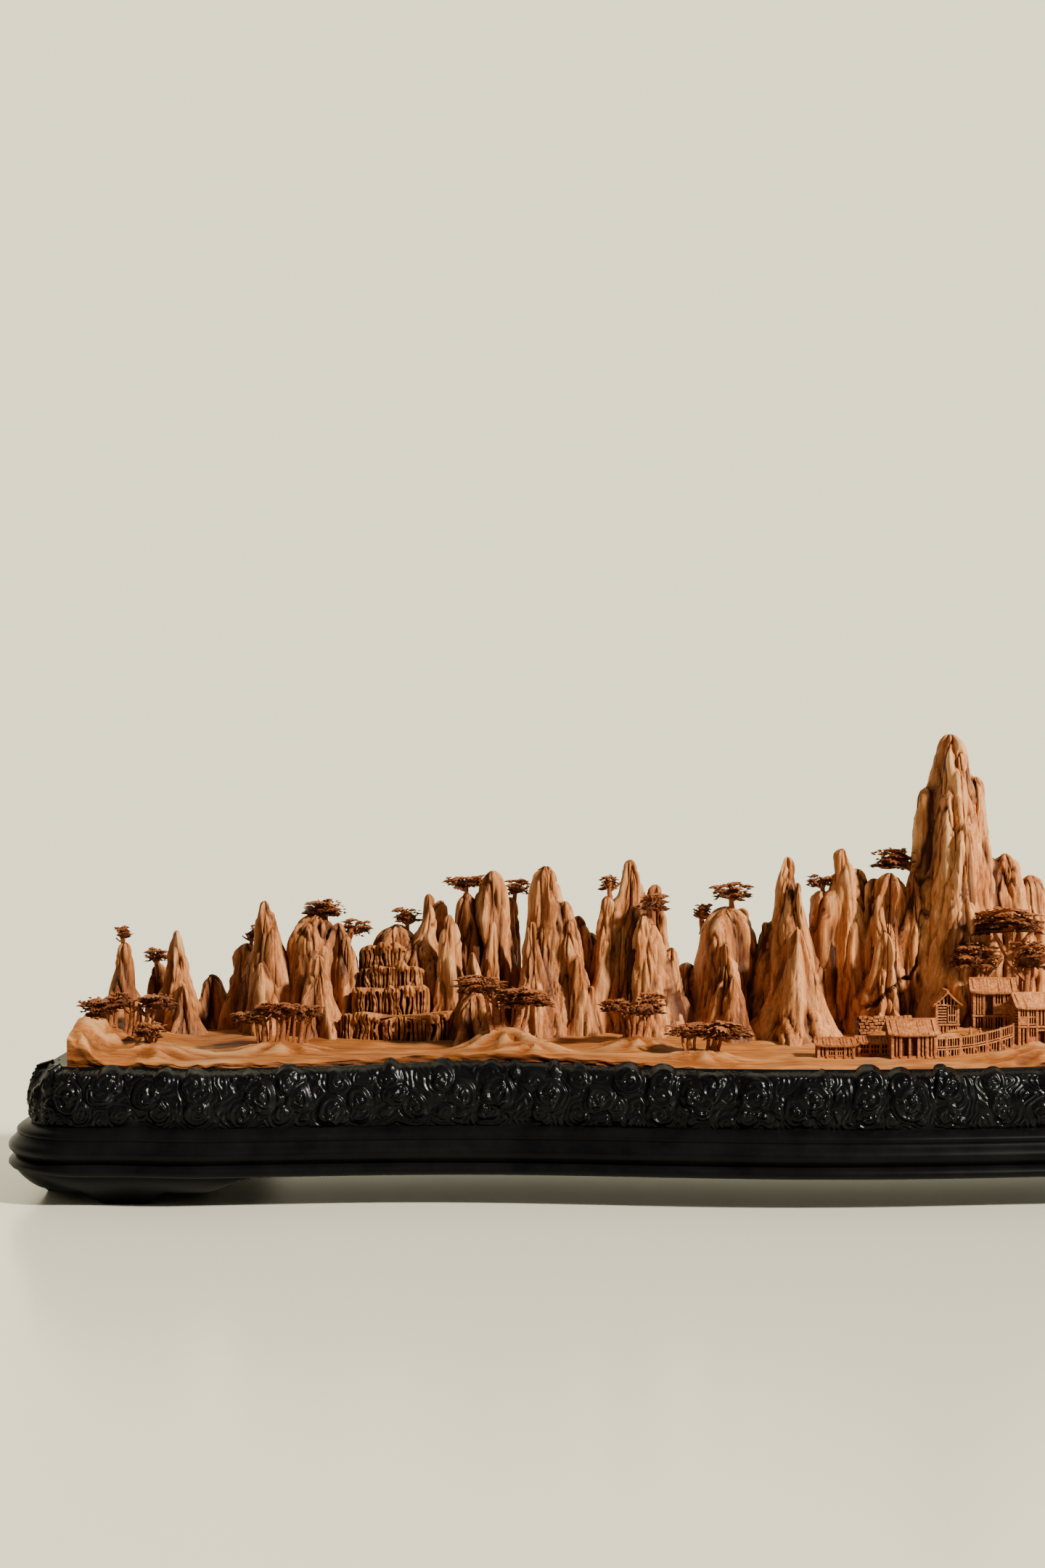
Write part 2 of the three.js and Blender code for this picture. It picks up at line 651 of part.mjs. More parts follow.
// The bed: the log's outline, grown by the clearance, down to the bed's floor
function bedCut() {
  const half = LOG_LENGTH / 2 + BED_CLEARANCE;
  const xAt = (i) => -half + (2 * half * i) / BED_CUTS;
  const outline = new THREE.Shape();
  outline.moveTo(-half, logFront(-half) - BED_CLEARANCE);
  for (let i = 1; i <= BED_CUTS; i += 1) outline.lineTo(xAt(i), logFront(xAt(i)) - BED_CLEARANCE);
  for (let i = BED_CUTS; i >= 0; i -= 1) outline.lineTo(xAt(i), logBack(xAt(i)) + BED_CLEARANCE);
  const cut = new THREE.ExtrudeGeometry(outline, { depth: BED_CUT_HEIGHT, bevelEnabled: false });
  cut.translate(0, 0, BED_Z);
  return solidOf(cut);
}

// Joining leaves slivers, which are dropped within a small tolerance
const SLIVER = 0.8;
const tidied = (solid) => solid.asOriginal().simplify(SLIVER);
const joined = (solids) => wasm.Manifold.union(solids);

function mesh(name, solid, material) {
  const part = new THREE.Mesh(geometryOf(solid), material);
  part.name = name;
  return part;
}

const carving = joined([
  ground(),
  ...ROCKS.map(rock),
  ...PADS.map(foliagePad),
  ...TRUNKS.map(trunk),
  ...TIERS.map(waterfallTier),
  ...HOUSES.flatMap(house),
  fence(),
]);
const stand = joined([
  standBody(standPlan()),
  cornerFoot(1, 1),
  cornerFoot(-1, 1),
  cornerFoot(1, -1),
  cornerFoot(-1, -1),
  ...scrollBosses(),
]).subtract(bedCut());

const sandalwood = new THREE.MeshStandardMaterial({ color: LOG_COLOUR, roughness: 0.6, metalness: 0 });
const blackLacquer = new THREE.MeshStandardMaterial({ color: STAND_COLOUR, roughness: 0.35, metalness: 0 });

const landscape = new THREE.Group();
landscape.add(mesh("sandalwood_landscape", tidied(carving), sandalwood));
landscape.add(mesh("carved_stand", tidied(stand), blackLacquer));

export default landscape;
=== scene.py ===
# The finish of a mountain landscape carved from one sandalwood log, and of its black carved stand.
# Every surface is worked out in millimetres and put into its mesh in metres.
from typing import NamedTuple

import bpy
import numpy as np
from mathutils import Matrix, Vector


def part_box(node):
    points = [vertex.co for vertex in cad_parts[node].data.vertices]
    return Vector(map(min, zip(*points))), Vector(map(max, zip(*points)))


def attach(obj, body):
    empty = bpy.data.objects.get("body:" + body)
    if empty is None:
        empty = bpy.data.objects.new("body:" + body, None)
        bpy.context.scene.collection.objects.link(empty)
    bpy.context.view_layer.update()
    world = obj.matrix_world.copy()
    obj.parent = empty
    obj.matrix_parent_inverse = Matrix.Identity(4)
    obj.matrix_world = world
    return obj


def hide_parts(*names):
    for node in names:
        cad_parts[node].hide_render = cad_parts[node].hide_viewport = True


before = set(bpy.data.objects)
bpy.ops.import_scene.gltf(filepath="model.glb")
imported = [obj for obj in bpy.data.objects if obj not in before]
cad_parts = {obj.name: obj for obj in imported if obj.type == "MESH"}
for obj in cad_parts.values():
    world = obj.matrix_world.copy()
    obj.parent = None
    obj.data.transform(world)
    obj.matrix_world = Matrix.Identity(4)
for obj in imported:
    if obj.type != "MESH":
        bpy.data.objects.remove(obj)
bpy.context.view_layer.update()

MM = 0.001
stand_low, stand_high = (np.array(corner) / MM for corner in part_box("carved_stand"))
log_low, log_high = (np.array(corner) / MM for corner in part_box("sandalwood_landscape"))

# The stand, from the frame
STAND_LENGTH = stand_high[0] - stand_low[0]
STAND_DEPTH = 232
CORNER_RADIUS = 54
ARCH_Z = 18
RIM_Z = 77.5

# The lazy wave that the stand and the log share along their edges
WAVE_HEIGHT = 8
WAVE_LENGTH = 430
WAVE_START = -440
WAVE_FADE_FROM = 470
WAVE_FADE_TO = 530

# The log, from the frame
LOG_LENGTH = log_high[0] - log_low[0]
LOG_BOTTOM = log_low[2]
LOG_HALF_DEPTH = 84
LOG_WAVE = 1.7
GROUND_FRONT = 80
GROUND_RISE = 6
SLOPE_FROM = -70
SLOPE_REACH = 100
ROCK_ROOT = 77
RIM_HUMP = 4.2
RIM_HUMP_X = -325
RIM_HUMP_REACH = 80
RIM_DIP = 3.4
RIM_DIP_FROM = -260
RIM_DIP_TO = 160
RIM_DIP_EASE = 100

# How a rock tapers: radius of its round tip as a share of the foot's half width, and the power of the
# depth that its flank follows under the tip
TAPERS = {
    "needle": (0.13, 1.05),
    "spire": (0.18, 0.92),
    "horn": (0.27, 0.85),
    "post": (0.43, 0.75),
    "dome": (0.55, 0.62),
    "summit": (0.1, 0.58),
}
# One row per rock, from the left: x, y and height of the tip, half width at the foot, taper,
# and how far the foot lies to the right of the tip
LEFT_ROCKS = [
    (-549, 30, 142, 15, "horn", -1),
    (-533, 55, 127, 9, "dome", 0),
    (-517, 35, 149, 19, "needle", 3),
    (-510, 18, 117, 13.5, "needle", 2),
    (-498, 60, 119, 17, "horn", 0),
    (-461, 35, 168, 20, "needle", 2),
    (-458, 37, 161, 12, "horn", 3),
    (-474, 48, 140, 13, "dome", -2),
    (-461, 15, 130, 16.5, "needle", 1),
    (-430, 46, 159, 24, "dome", 0),
    (-433, 32, 154, 7.5, "dome", 0),
    (-423, 34, 155, 6.5, "dome", 0),
    (-414, 33, 154, 12, "post", 4),
    (-408, 24, 146, 10, "horn", 1),
    (-424, 10, 135, 16, "spire", 1),
    (-378, 50, 152, 22, "dome", 0),
    (-357, 40, 172, 11.5, "horn", -2),
    (-350, 58, 167, 9, "post", 0),
    (-364, 44, 144, 26, "dome", 0),
    (-343, 18, 160, 13.5, "spire", 1),
    (-333, 40, 173, 15.5, "post", 0),
    (-316, 36, 187, 15, "dome", 0),
    (-315, 14, 156, 9, "needle", 0),
    (-305, 58, 169, 10.5, "post", 0),
    (-328, 8, 137, 11, "spire", 0),
    (-326, -5, 112, 16.5, "dome", 0),
    (-282, 38, 190, 23, "horn", 2),
    (-291, 12, 156, 17.5, "needle", 4),
    (-270, 30, 168, 13, "horn", 3),
    (-267, 22, 156, 10, "horn", 4),
    (-262, 12, 134, 8.5, "horn", 2),
    (-254, 8, 116, 6, "horn", 2),
    (-261, 58, 157, 13, "post", 0),
    (-253, 60, 146, 13, "dome", 0),
]
MIDDLE_ROCKS = [
    (-228, 38, 194, 24, "spire", 0),
    (-243, 34, 171, 16, "horn", -3),
    (-212, 42, 178, 10.5, "post", 3),
    (-221, 16, 161, 19, "horn", 2),
    (-203, 24, 139, 14.5, "horn", 1),
    (-191, 54, 127, 12, "dome", 0),
    (-167, 40, 164, 24, "dome", -4),
    (-170, 14, 142, 16.5, "needle", 1),
    (-166, 2, 122, 12, "needle", 3),
    (-155, 58, 162, 8, "dome", 0),
    (-148, 60, 136, 14, "dome", 0),
    (-129, 32, 196, 21.5, "spire", 1),
    (-124, 20, 180, 12, "spire", 4),
    (-126, 6, 152, 26, "needle", 0),
    (-142, 40, 154, 10.5, "post", 0),
    (-93, 40, 201, 18.5, "horn", 3),
    (-106, 42, 174, 12, "dome", 0),
    (-83, 46, 188, 14, "post", 0),
    (-65, 26, 186, 13.5, "dome", -1),
    (-73, 38, 182, 11.5, "post", 0),
    (-71, 8, 151, 15, "spire", -1),
    (-25, 36, 274, 33, "summit", -1),
    (-40, 36, 240, 13, "post", -2),
    (-9, 36, 247, 14, "post", 2),
    (-20, 26, 262, 17, "horn", 6),
    (-28, 16, 236, 18, "spire", -2),
    (-22, 6, 218, 20, "needle", -4),
    (-50, 20, 186, 14, "spire", 0),
    (10, 36, 198, 15.5, "dome", 0),
    (27, 40, 184, 14.5, "dome", 1),
]
RIGHT_ROCKS = [
    (50, 46, 192, 16, "horn", 2),
    (69, 32, 166, 15, "post", 1),
    (94, 46, 178, 17.5, "horn", -2),
    (118, 28, 150, 17, "horn", 2),
    (152, 38, 206, 22, "spire", 0),
    (160, 12, 152, 16.5, "spire", 2),
    (185, 44, 186, 17, "post", 0),
    (207, 24, 158, 16, "spire", 3),
    (236, 50, 149, 16, "post", 0),
    (266, 54, 122, 17, "dome", 0),
    (296, 36, 179, 20.5, "spire", 1),
    (304, 10, 133, 16, "spire", 2),
    (324, 46, 160, 16, "post", 0),
    (351, 30, 141, 16, "horn", 2),
    (386, 40, 169, 20.5, "spire", -1),
    (377, 12, 127, 16.5, "spire", 0),
    (413, 46, 146, 16, "post", 1),
    (446, 54, 117, 13.5, "post", 0),
    (478, 34, 151, 18.5, "spire", 2),
    (485, 14, 116, 13.5, "spire", 2),
    (521, 42, 128, 14.5, "horn", 0),
    (545, 20, 103, 11, "horn", 0),
]
ROCK_MARGIN = 2
ROCK_DEPTH = 1.2
FOOT_FLARE = 0.3
FLARE_FALL = 12
TIP_HEIGHT = 1.2

# One row per swelling of the ground: x, y, height, reach along x and along y
MOUNDS = [
    (-552, 5, 24, 18, 46),
    (-562, -60, 17, 14, 40),
    (-540, -42, 5, 18, 14),
    (-512, -58, 7, 24, 16),
    (-441, -44, 6, 22, 12),
    (-308, -36, 14, 20, 16),
    (-290, -56, 6, 16, 10),
    (-228, -34, 7, 18, 12),
    (-190, -62, 5, 18, 10),
    (-78, -28, 9, 22, 12),
    (-20, -28, 10, 42, 20),
    (10, -68, 8, 26, 14),
    (130, -40, 9, 28, 16),
    (262, -38, 10, 24, 16),
    (352, -46, 7, 26, 12),
    (440, -40, 8, 22, 14),
    (535, -10, 12, 26, 40),
]

# One row per foliage pad: x, y, height of its middle, half width, thickness
PADS = [
    (-551, -38, 109, 11.5, 8),
    (-538, -36, 112, 7, 8),
    (-518, -36, 111, 13.5, 8),
    (-519, -55, 96, 9.5, 7),
    (-461, -40, 102, 10, 6),
    (-443, -40, 106, 13, 7),
    (-426, -36, 105, 8, 6),
    (-322, -38, 121, 14.5, 9),
    (-297, -38, 114, 18, 9),
    (-241, -30, 108, 9.5, 6),
    (-222, -28, 108, 11, 12),
    (-202, -58, 96, 9, 6),
    (-180, -58, 96, 17, 8),
    (-550, 30, 148, 5, 6),
    (-534, 55, 132, 7.5, 7),
    (-470, 50, 147, 4, 7),
    (-424, 46, 163, 13, 8),
    (-403, 38, 151, 8.5, 8),
    (-371, 48, 158, 8, 8),
    (-334, 38, 180, 11, 6),
    (-300, 57, 176, 8, 8),
    (-242, 36, 180, 6, 8),
    (-215, 18, 168, 9.5, 9),
    (-164, 40, 174, 11.5, 9),
    (-182, 46, 161, 5.5, 8),
    (-106, 44, 180, 7.5, 6),
    (-60, 34, 195, 14, 12),
    (2, -5, 158, 23.5, 13),
    (-18, -10, 137, 16, 14),
    (17, -5, 137, 12.5, 15),
    (128, -38, 112, 13, 7),
    (146, -40, 109, 9, 6),
    (68, 32, 172, 8, 7),
    (184, 44, 193, 11, 8),
    (236, 50, 156, 9, 7),
    (350, -46, 106, 15, 7),
    (324, 46, 167, 8, 7),
    (414, 46, 152, 9, 7),
    (441, -40, 106, 12, 7),
    (521, 42, 134, 6, 6),
]

# One row per trunk: x and y, foot height, top height, radius, sideways lean of its top
TRUNKS = [
    (-545, -38, 76, 109, 2, -3),
    (-534, -38, 76, 111, 1.8, 3),
    (-526, -37, 76, 110, 1.8, 5),
    (-518, -55, 76, 95, 1.8, 0),
    (-452, -40, 76, 104, 2, -3),
    (-442, -40, 76, 105, 2, 2),
    (-431, -38, 76, 104, 1.6, 4),
    (-312, -38, 76, 119, 2.4, -5),
    (-301, -38, 76, 113, 2, 4),
    (-231, -30, 76, 107, 2, -6),
    (-227, -30, 76, 108, 2, 4),
    (-197, -58, 76, 95, 1.7, -2),
    (-184, -58, 76, 96, 2, 2),
    (-550, 30, 134, 146, 1.5, 0),
    (-533, 55, 118, 131, 2.2, 0),
    (-470.5, 49, 130, 147, 1.6, 0),
    (-428, 46, 148, 162, 1.8, 1),
    (-422, 46, 148, 162, 1.8, 0),
    (-408, 32, 132, 150, 2, 4),
    (-371, 49, 142, 157, 1.8, 0),
    (-332.5, 38, 164, 179, 1.8, -1),
    (-303, 58, 160, 176, 1.8, 2),
    (-241, 34, 162, 180, 2, -1),
    (-217, 18, 154, 168, 2, 0),
    (-164, 40, 156, 173, 2.2, 0),
    (-181, 44, 146, 161, 2.2, -1),
    (-104.5, 43, 166, 180, 1.8, -1),
    (-44, 34, 185, 193, 3.5, -20),
    (4, -4, 76, 158, 3.4, 0),
    (-21, -10, 76, 136, 1.8, -2),
    (-14, -8, 76, 136, 1.8, 2),
    (12, -4, 76, 136, 2.6, 6),
    (133, -38, 76, 111, 2.2, -3),
    (141, -40, 76, 108, 1.8, 4),
    (68, 32, 158, 171, 1.8, 0),
    (184, 44, 178, 192, 2, 0),
    (236, 50, 142, 155, 1.8, 0),
    (350, -46, 76, 105, 2.2, 0),
    (324, 46, 152, 166, 1.8, 0),
    (414, 46, 138, 152, 1.8, 0),
    (441, -40, 76, 105, 2, 0),
    (521, 42, 120, 134, 1.6, 0),
]

# Waterfall tiers, lowest first: left and right end, front, foot and top
TIERS = [
    (-410, -338, -3, 77, 102),
    (-404, -355, 9, 93, 116.5),
    (-401, -358, 19, 107, 130.5),
    (-401, -371, 28, 121, 142),
]
FALL_BACK = 46
TIER_BOW = 8

# Village: x and y of each house, turn in degrees, width along x, depth, floor, eaves and ridge heights
HOUSES = [
    (-111.5, -58, 0, 21, 9, 77, 88.5, 91),
    (-87, -50, 0, 19, 8, 77, 89, 91),
    (-66, -56, 3, 26, 15, 77, 95, 102),
    (-39, -20, 90, 16, 13, 84, 108, 116),
    (-10, -20, -4, 24, 15, 86, 116.5, 123),
    (14, -34, 8, 28, 14, 84, 108.5, 115.5),
    (48, -30, 6, 24, 14, 78, 103, 110),
    (78, -44, 2, 22, 13, 77, 94, 101),
    (262, -38, 4, 22, 14, 84, 104, 111),
]
EAVE = 2.2
FENCE_LEFT, FENCE_RIGHT = -54, -4
FENCE_Y = -60
FENCE_BOW = 10
FENCE_LIFT = 7
FENCE_FOOT = 77


def smooth(t):
    """An S-curve from 0 to 1."""
    t = np.clip(t, 0, 1)
    return t * t * (3 - 2 * t)


NOISE_CELLS = 64


def noise(u, v, seed, ring=NOISE_CELLS, ease=smooth):
    """Smooth noise from -1 to 1: random values at whole u and v, blended between; u repeats after ring."""
    table = np.random.default_rng(seed).uniform(-1, 1, (NOISE_CELLS, NOISE_CELLS))
    left, low = np.floor(u).astype(int), np.floor(v).astype(int)
    across, up = ease(u - left), ease(v - low)
    a, b = left % ring % NOISE_CELLS, (left + 1) % ring % NOISE_CELLS
    c, d = low % NOISE_CELLS, (low + 1) % NOISE_CELLS
    lower = table[a, c] * (1 - across) + table[b, c] * across
    upper = table[a, d] * (1 - across) + table[b, d] * across
    return lower * (1 - up) + upper * up


def facets(u, v, seed, ring=NOISE_CELLS):
    """Noise of flat facets that meet in creases at whole u and v: straight lines join its values."""
    return noise(u, v, seed, ring, ease=lambda t: t)


def pillows(t):
    """Round ridges with sharp grooves at whole t: half circles side by side, 0 in a groove, 1 on a ridge."""
    return np.sqrt(np.clip(1 - (2 * (t - np.floor(t)) - 1) ** 2, 0, 1))


def wave(x):
    """A sine along the length that dies away before the corners."""
    fade = 1 - smooth((np.abs(x) - WAVE_FADE_FROM) / (WAVE_FADE_TO - WAVE_FADE_FROM))
    return WAVE_HEIGHT * fade * np.sin(2 * np.pi * (x - WAVE_START) / WAVE_LENGTH)


def log_front(x):
    """y of the log's front edge: half its depth, and a stronger form of the wave."""
    return -LOG_HALF_DEPTH + LOG_WAVE * wave(x)


def rim_lift(x):
    """How far the log's front edge rises: a bell-shaped hump on the left, less a dip by the village."""
    hump = RIM_HUMP * np.exp(-(((x - RIM_HUMP_X) / RIM_HUMP_REACH) ** 2))
    dip = smooth((x - RIM_DIP_FROM) / RIM_DIP_EASE) * smooth((RIM_DIP_TO - x) / RIM_DIP_EASE)
    return hump - RIM_DIP * dip


def log_back(x):
    """y of the log's back edge: the front edge turned half way round."""
    return -log_front(-x)


def ground_height(x, y):
    """A gentle slope towards the back, with a bell-shaped swelling for each mound."""
    height = GROUND_FRONT + GROUND_RISE * smooth((y - SLOPE_FROM) / SLOPE_REACH)
    for mound_x, mound_y, rise, reach_x, reach_y in MOUNDS:
        bell = ((x - mound_x) / reach_x) ** 2 + ((y - mound_y) / reach_y) ** 2
        height = height + rise * np.exp(-bell)
    return height


def xyz(x, y, z):
    """x, y and z side by side along a last axis: numbers or arrays, stretched to fit each other."""
    return np.stack(np.broadcast_arrays(x, y, z), axis=-1)


class Skin(NamedTuple):
    """A closed surface: points in mm, faces of four and of three corners, and each point's painted light and
    tone: painted shade above 0, painted highlight below 0.
    """

    points: np.ndarray
    quads: np.ndarray
    fans: np.ndarray
    painted_light_and_tone: np.ndarray


def tube(rings, painted_light_and_tone=None):
    """A skin over rings of points, rings x sides x 3: quads between neighbours, and a fan closing each end.

    A ring turns right-handed about the way the rings follow each other."""
    count, sides = rings.shape[:2]
    index = np.arange(count * sides).reshape(count, sides)
    after = np.roll(index, -1, axis=1)
    quads = np.stack([index[:-1], after[:-1], after[1:], index[1:]], axis=-1).reshape(-1, 4)
    first, last = count * sides, count * sides + 1
    foot_fan = np.stack([np.full(sides, first), after[0], index[0]], axis=-1)
    head_fan = np.stack([np.full(sides, last), index[-1], after[-1]], axis=-1)
    points = np.concatenate([rings.reshape(-1, 3), [rings[0].mean(axis=0), rings[-1].mean(axis=0)]])
    if painted_light_and_tone is None:
        painted_light_and_tone = np.zeros((count, sides))
    painted_light_and_tone = np.concatenate([painted_light_and_tone.reshape(-1), [painted_light_and_tone[0].mean(), painted_light_and_tone[-1].mean()]])
    return Skin(points, quads, np.concatenate([foot_fan, head_fan]), painted_light_and_tone)


def repeated(shape, places, painted_light_and_tone):
    """Copies of one skin, turned and stretched by places x 3 x 4 matrices, each with its own painted light
    and tone.
    """
    count = len(shape.points)
    local = np.concatenate([shape.points, np.ones((count, 1))], axis=1)
    points = np.einsum("nij,pj->npi", places, local).reshape(-1, 3)
    shift = (np.arange(len(places)) * count)[:, None, None]
    quads = (shape.quads[None] + shift).reshape(-1, 4)
    fans = (shape.fans[None] + shift).reshape(-1, 3)
    return Skin(points, quads, fans, np.repeat(painted_light_and_tone, count))


def make_piece(name, skins, material, node, sharp_angle=None):
    """One mesh object holding all the skins, riding on the part and standing for its solid."""
    counts = np.cumsum([0] + [len(skin.points) for skin in skins])
    points = np.concatenate([skin.points for skin in skins]) * MM
    quads = np.concatenate([skin.quads + start for skin, start in zip(skins, counts)])
    fans = np.concatenate([skin.fans + start for skin, start in zip(skins, counts)])
    mesh = bpy.data.meshes.new(name)
    mesh.vertices.add(len(points))
    mesh.vertices.foreach_set("co", points.astype(np.float32).ravel())
    corners = np.concatenate([quads.ravel(), fans.ravel()])
    mesh.loops.add(len(corners))
    mesh.loops.foreach_set("vertex_index", corners.astype(np.int32))
    starts = np.concatenate([np.arange(len(quads)) * 4, quads.size + np.arange(len(fans)) * 3])
    mesh.polygons.add(len(starts))
    mesh.polygons.foreach_set("loop_start", starts.astype(np.int32))
    mesh.update(calc_edges=True)
    # Each point's painted shade (above 0) and painted highlight (below 0), with a little real tone, goes
    # into the mesh as an attribute
    painted_light_and_tone = np.concatenate([skin.painted_light_and_tone for skin in skins]).astype(np.float32)
    mesh.attributes.new("painted_light_and_tone", "FLOAT", "POINT").data.foreach_set("value", painted_light_and_tone)
    mesh.shade_smooth()
    if sharp_angle is not None:
        mesh.set_sharp_from_angle(angle=np.radians(sharp_angle))
    mesh.materials.append(material)
    piece = bpy.data.objects.new(name, mesh)
    bpy.context.collection.objects.link(piece)
    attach(piece, "root")
    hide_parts(node)


# Sandalwood and lacquer


def new_material(name):
    """A fresh material, with its nodes and links."""
    material = bpy.data.materials.new(name)
    material.use_nodes = True
    return material, material.node_tree.nodes, material.node_tree.links


def part_of(nodes, links, vector, axis):
    """One of the three numbers of a vector."""
    parts = nodes.new("ShaderNodeSeparateXYZ")
    links.new(vector, parts.inputs["Vector"])
    return parts.outputs[axis]


def stretched(nodes, links, scale):
    """Object coordinates multiplied by scale, in cells per metre."""
    place = nodes.new("ShaderNodeTexCoord")
    mapping = nodes.new("ShaderNodeMapping")
    mapping.inputs["Scale"].default_value = scale
    links.new(place.outputs["Object"], mapping.inputs["Vector"])
    return mapping.outputs["Vector"]


def clouds(nodes, links, scale, detail, roughness=0.55, distortion=0.0):
    """Noise with cells of the given density along x, y and z, per metre."""
    texture = nodes.new("ShaderNodeTexNoise")
    texture.inputs["Scale"].default_value = 1
    texture.inputs["Detail"].default_value = detail
    texture.inputs["Roughness"].default_value = roughness
    texture.inputs["Distortion"].default_value = distortion
    links.new(stretched(nodes, links, scale), texture.inputs["Vector"])
    return texture.outputs["Fac"]


def ramp(nodes, links, value, stops):
    """A colour ramp over value, with stops of (position, colour)."""
    node = nodes.new("ShaderNodeValToRGB")
    elements = node.color_ramp.elements
    while len(elements) < len(stops):
        elements.new(0.5)
    for element, (position, colour) in zip(elements, stops):
        element.position = position
        element.color = (*colour, 1)
    links.new(value, node.inputs["Fac"])
    return node.outputs["Color"]


def blended(nodes, links, kind, share, first, second):
    """Two colours mixed; share is a socket or a number."""
    node = nodes.new("ShaderNodeMix")
    node.data_type = "RGBA"
    node.blend_type = kind
    factor, a, b = node.inputs[0], node.inputs[6], node.inputs[7]
    if isinstance(share, (int, float)):
        factor.default_value = share
    else:
        links.new(share, factor)
    for socket, colour in ((a, first), (b, second)):
        if isinstance(colour, tuple):
            socket.default_value = (*colour, 1)
        else:
            links.new(colour, socket)
    return node.outputs[2]


def spread(nodes, links, value, low, high, start=0, end=1):
    """A value between start and end carried to between low and high."""
    node = nodes.new("ShaderNodeMapRange")
    for socket, number in zip(("From Min", "From Max", "To Min", "To Max"), (start, end, low, high)):
        node.inputs[socket].default_value = number
    links.new(value, node.inputs["Value"])
    return node.outputs["Result"]


def bumped(nodes, links, height, distance, strength, under=None):
    """The normal tilted by the slope of a height of up to distance, on top of the normal under it."""
    node = nodes.new("ShaderNodeBump")
    node.inputs["Strength"].default_value = strength
    node.inputs["Distance"].default_value = distance
    links.new(height, node.inputs["Height"])
    if under is not None:
        links.new(under, node.inputs["Normal"])
    return node.outputs["Normal"]


# The wood: its grain from dark to light, its mottling and pores, and its heart, which is palest at the
# middle of a stretch of the log, given in metres;
# that paleness is partly the wood's tone and partly painted light, a pool of light on the middle of the log
GRAIN_STOPS = (0.3, 0.48, 0.68)
MOTTLING_CELLS = (28, 28, 28)
MOTTLING_TONES = [(0.36, (0.74, 0.58, 0.45)), (0.62, (1.12, 1.1, 1.05))]
MOTTLING_SHARE = 0.85
PORES_TO_FIBRES = 4
PORE_TONES = [(0.36, (0.62, 0.5, 0.42)), (0.47, (1, 1, 1))]
PORE_SHARE = 0.5
HEART_AND_LIGHT_FROM, HEART_AND_LIGHT_TO = -0.5, 0.5
HEART_AND_LIGHT_TONES = [
    (0, (0.8, 0.77, 0.74)),
    (0.3, (1, 0.98, 0.96)),
    (0.49, (1.22, 1.24, 1.27)),
    (0.75, (0.95, 0.93, 0.9)),
]
# A pale tone laid on tips and crests as painted highlight, and a dark red-brown laid into grooves, crevices
# and sheltered faces as painted shade, which also darkens end grain and bark
CREST_HIGHLIGHT_TONE = (0.64, 0.385, 0.175)
HIGHLIGHT_MIX = 0.7
SHADE_AND_STAIN_TONE = (0.045, 0.01, 0.002)
FIBRE_DEPTH = 1.2 * MM
PORE_DEPTH = 0.3 * MM


def sandalwood(name, fibre, light, middle, dark):
    """Oiled wood: fibres stretched along the cut, broad mottling, pores, and a heart that is palest half way
    along, partly the wood's tone and partly painted light; a paler painted highlight where the attribute is
    below 0, as on tips and crests, and a dark painted shade, with some stain, where it is above."""
    material, nodes, links = new_material(name)
    shader = nodes["Principled BSDF"]
    strokes = clouds(nodes, links, fibre, 6, roughness=0.6, distortion=0.4)
    mottling = clouds(nodes, links, MOTTLING_CELLS, 3)
    pores = clouds(nodes, links, tuple(PORES_TO_FIBRES * s for s in fibre), 3, roughness=0.7)
    along = part_of(nodes, links, stretched(nodes, links, (1, 1, 1)), "X")
    # Paler towards the middle of the log: partly the wood's tone, partly painted light
    heart_and_light = spread(nodes, links, along, 0, 1, HEART_AND_LIGHT_FROM, HEART_AND_LIGHT_TO)
    wood = ramp(nodes, links, strokes, list(zip(GRAIN_STOPS, (dark, middle, light))))
    for share, value, tones in (
        (MOTTLING_SHARE, mottling, MOTTLING_TONES),
        (PORE_SHARE, pores, PORE_TONES),
        (1.0, heart_and_light, HEART_AND_LIGHT_TONES),
    ):
        wood = blended(nodes, links, "MULTIPLY", share, wood, ramp(nodes, links, value, tones))
    painted_light_and_tone = nodes.new("ShaderNodeAttribute")
    painted_light_and_tone.attribute_name = "painted_light_and_tone"
    # Paler where the attribute is below 0: painted highlight
    painted_highlight = spread(nodes, links, painted_light_and_tone.outputs["Fac"], HIGHLIGHT_MIX, 0, -1, 0)
    wood = blended(nodes, links, "MIX", painted_highlight, wood, CREST_HIGHLIGHT_TONE)
    # Darker where the attribute is above 0: painted shade, with some stain
    wood = blended(nodes, links, "MIX", painted_light_and_tone.outputs["Fac"], wood, SHADE_AND_STAIN_TONE)
    links.new(wood, shader.inputs["Base Color"])
    links.new(spread(nodes, links, strokes, 0.66, 0.46), shader.inputs["Roughness"])
    shader.inputs["Specular IOR Level"].default_value = 0.15
    coarse = bumped(nodes, links, strokes, FIBRE_DEPTH, 0.65)
    links.new(bumped(nodes, links, pores, PORE_DEPTH, 0.6, coarse), shader.inputs["Normal"])
    return material


LACQUER_TONES = [(0.35, (0.0015, 0.0015, 0.002)), (0.7, (0.004, 0.0038, 0.0042))]
# Grey laid on surfaces that face up: partly dust, partly a painted sheen
DUST_AND_SHEEN_TONE = (0.06, 0.06, 0.055)
DUST_AND_SHEEN_FROM = 0.3  # upward part of the normal from which dust and a painted sheen show
PATCH_CELLS = (45, 45, 45)
BRUSH_CELLS = (90, 900, 900)
BRUSH_DEPTH = 0.15 * MM


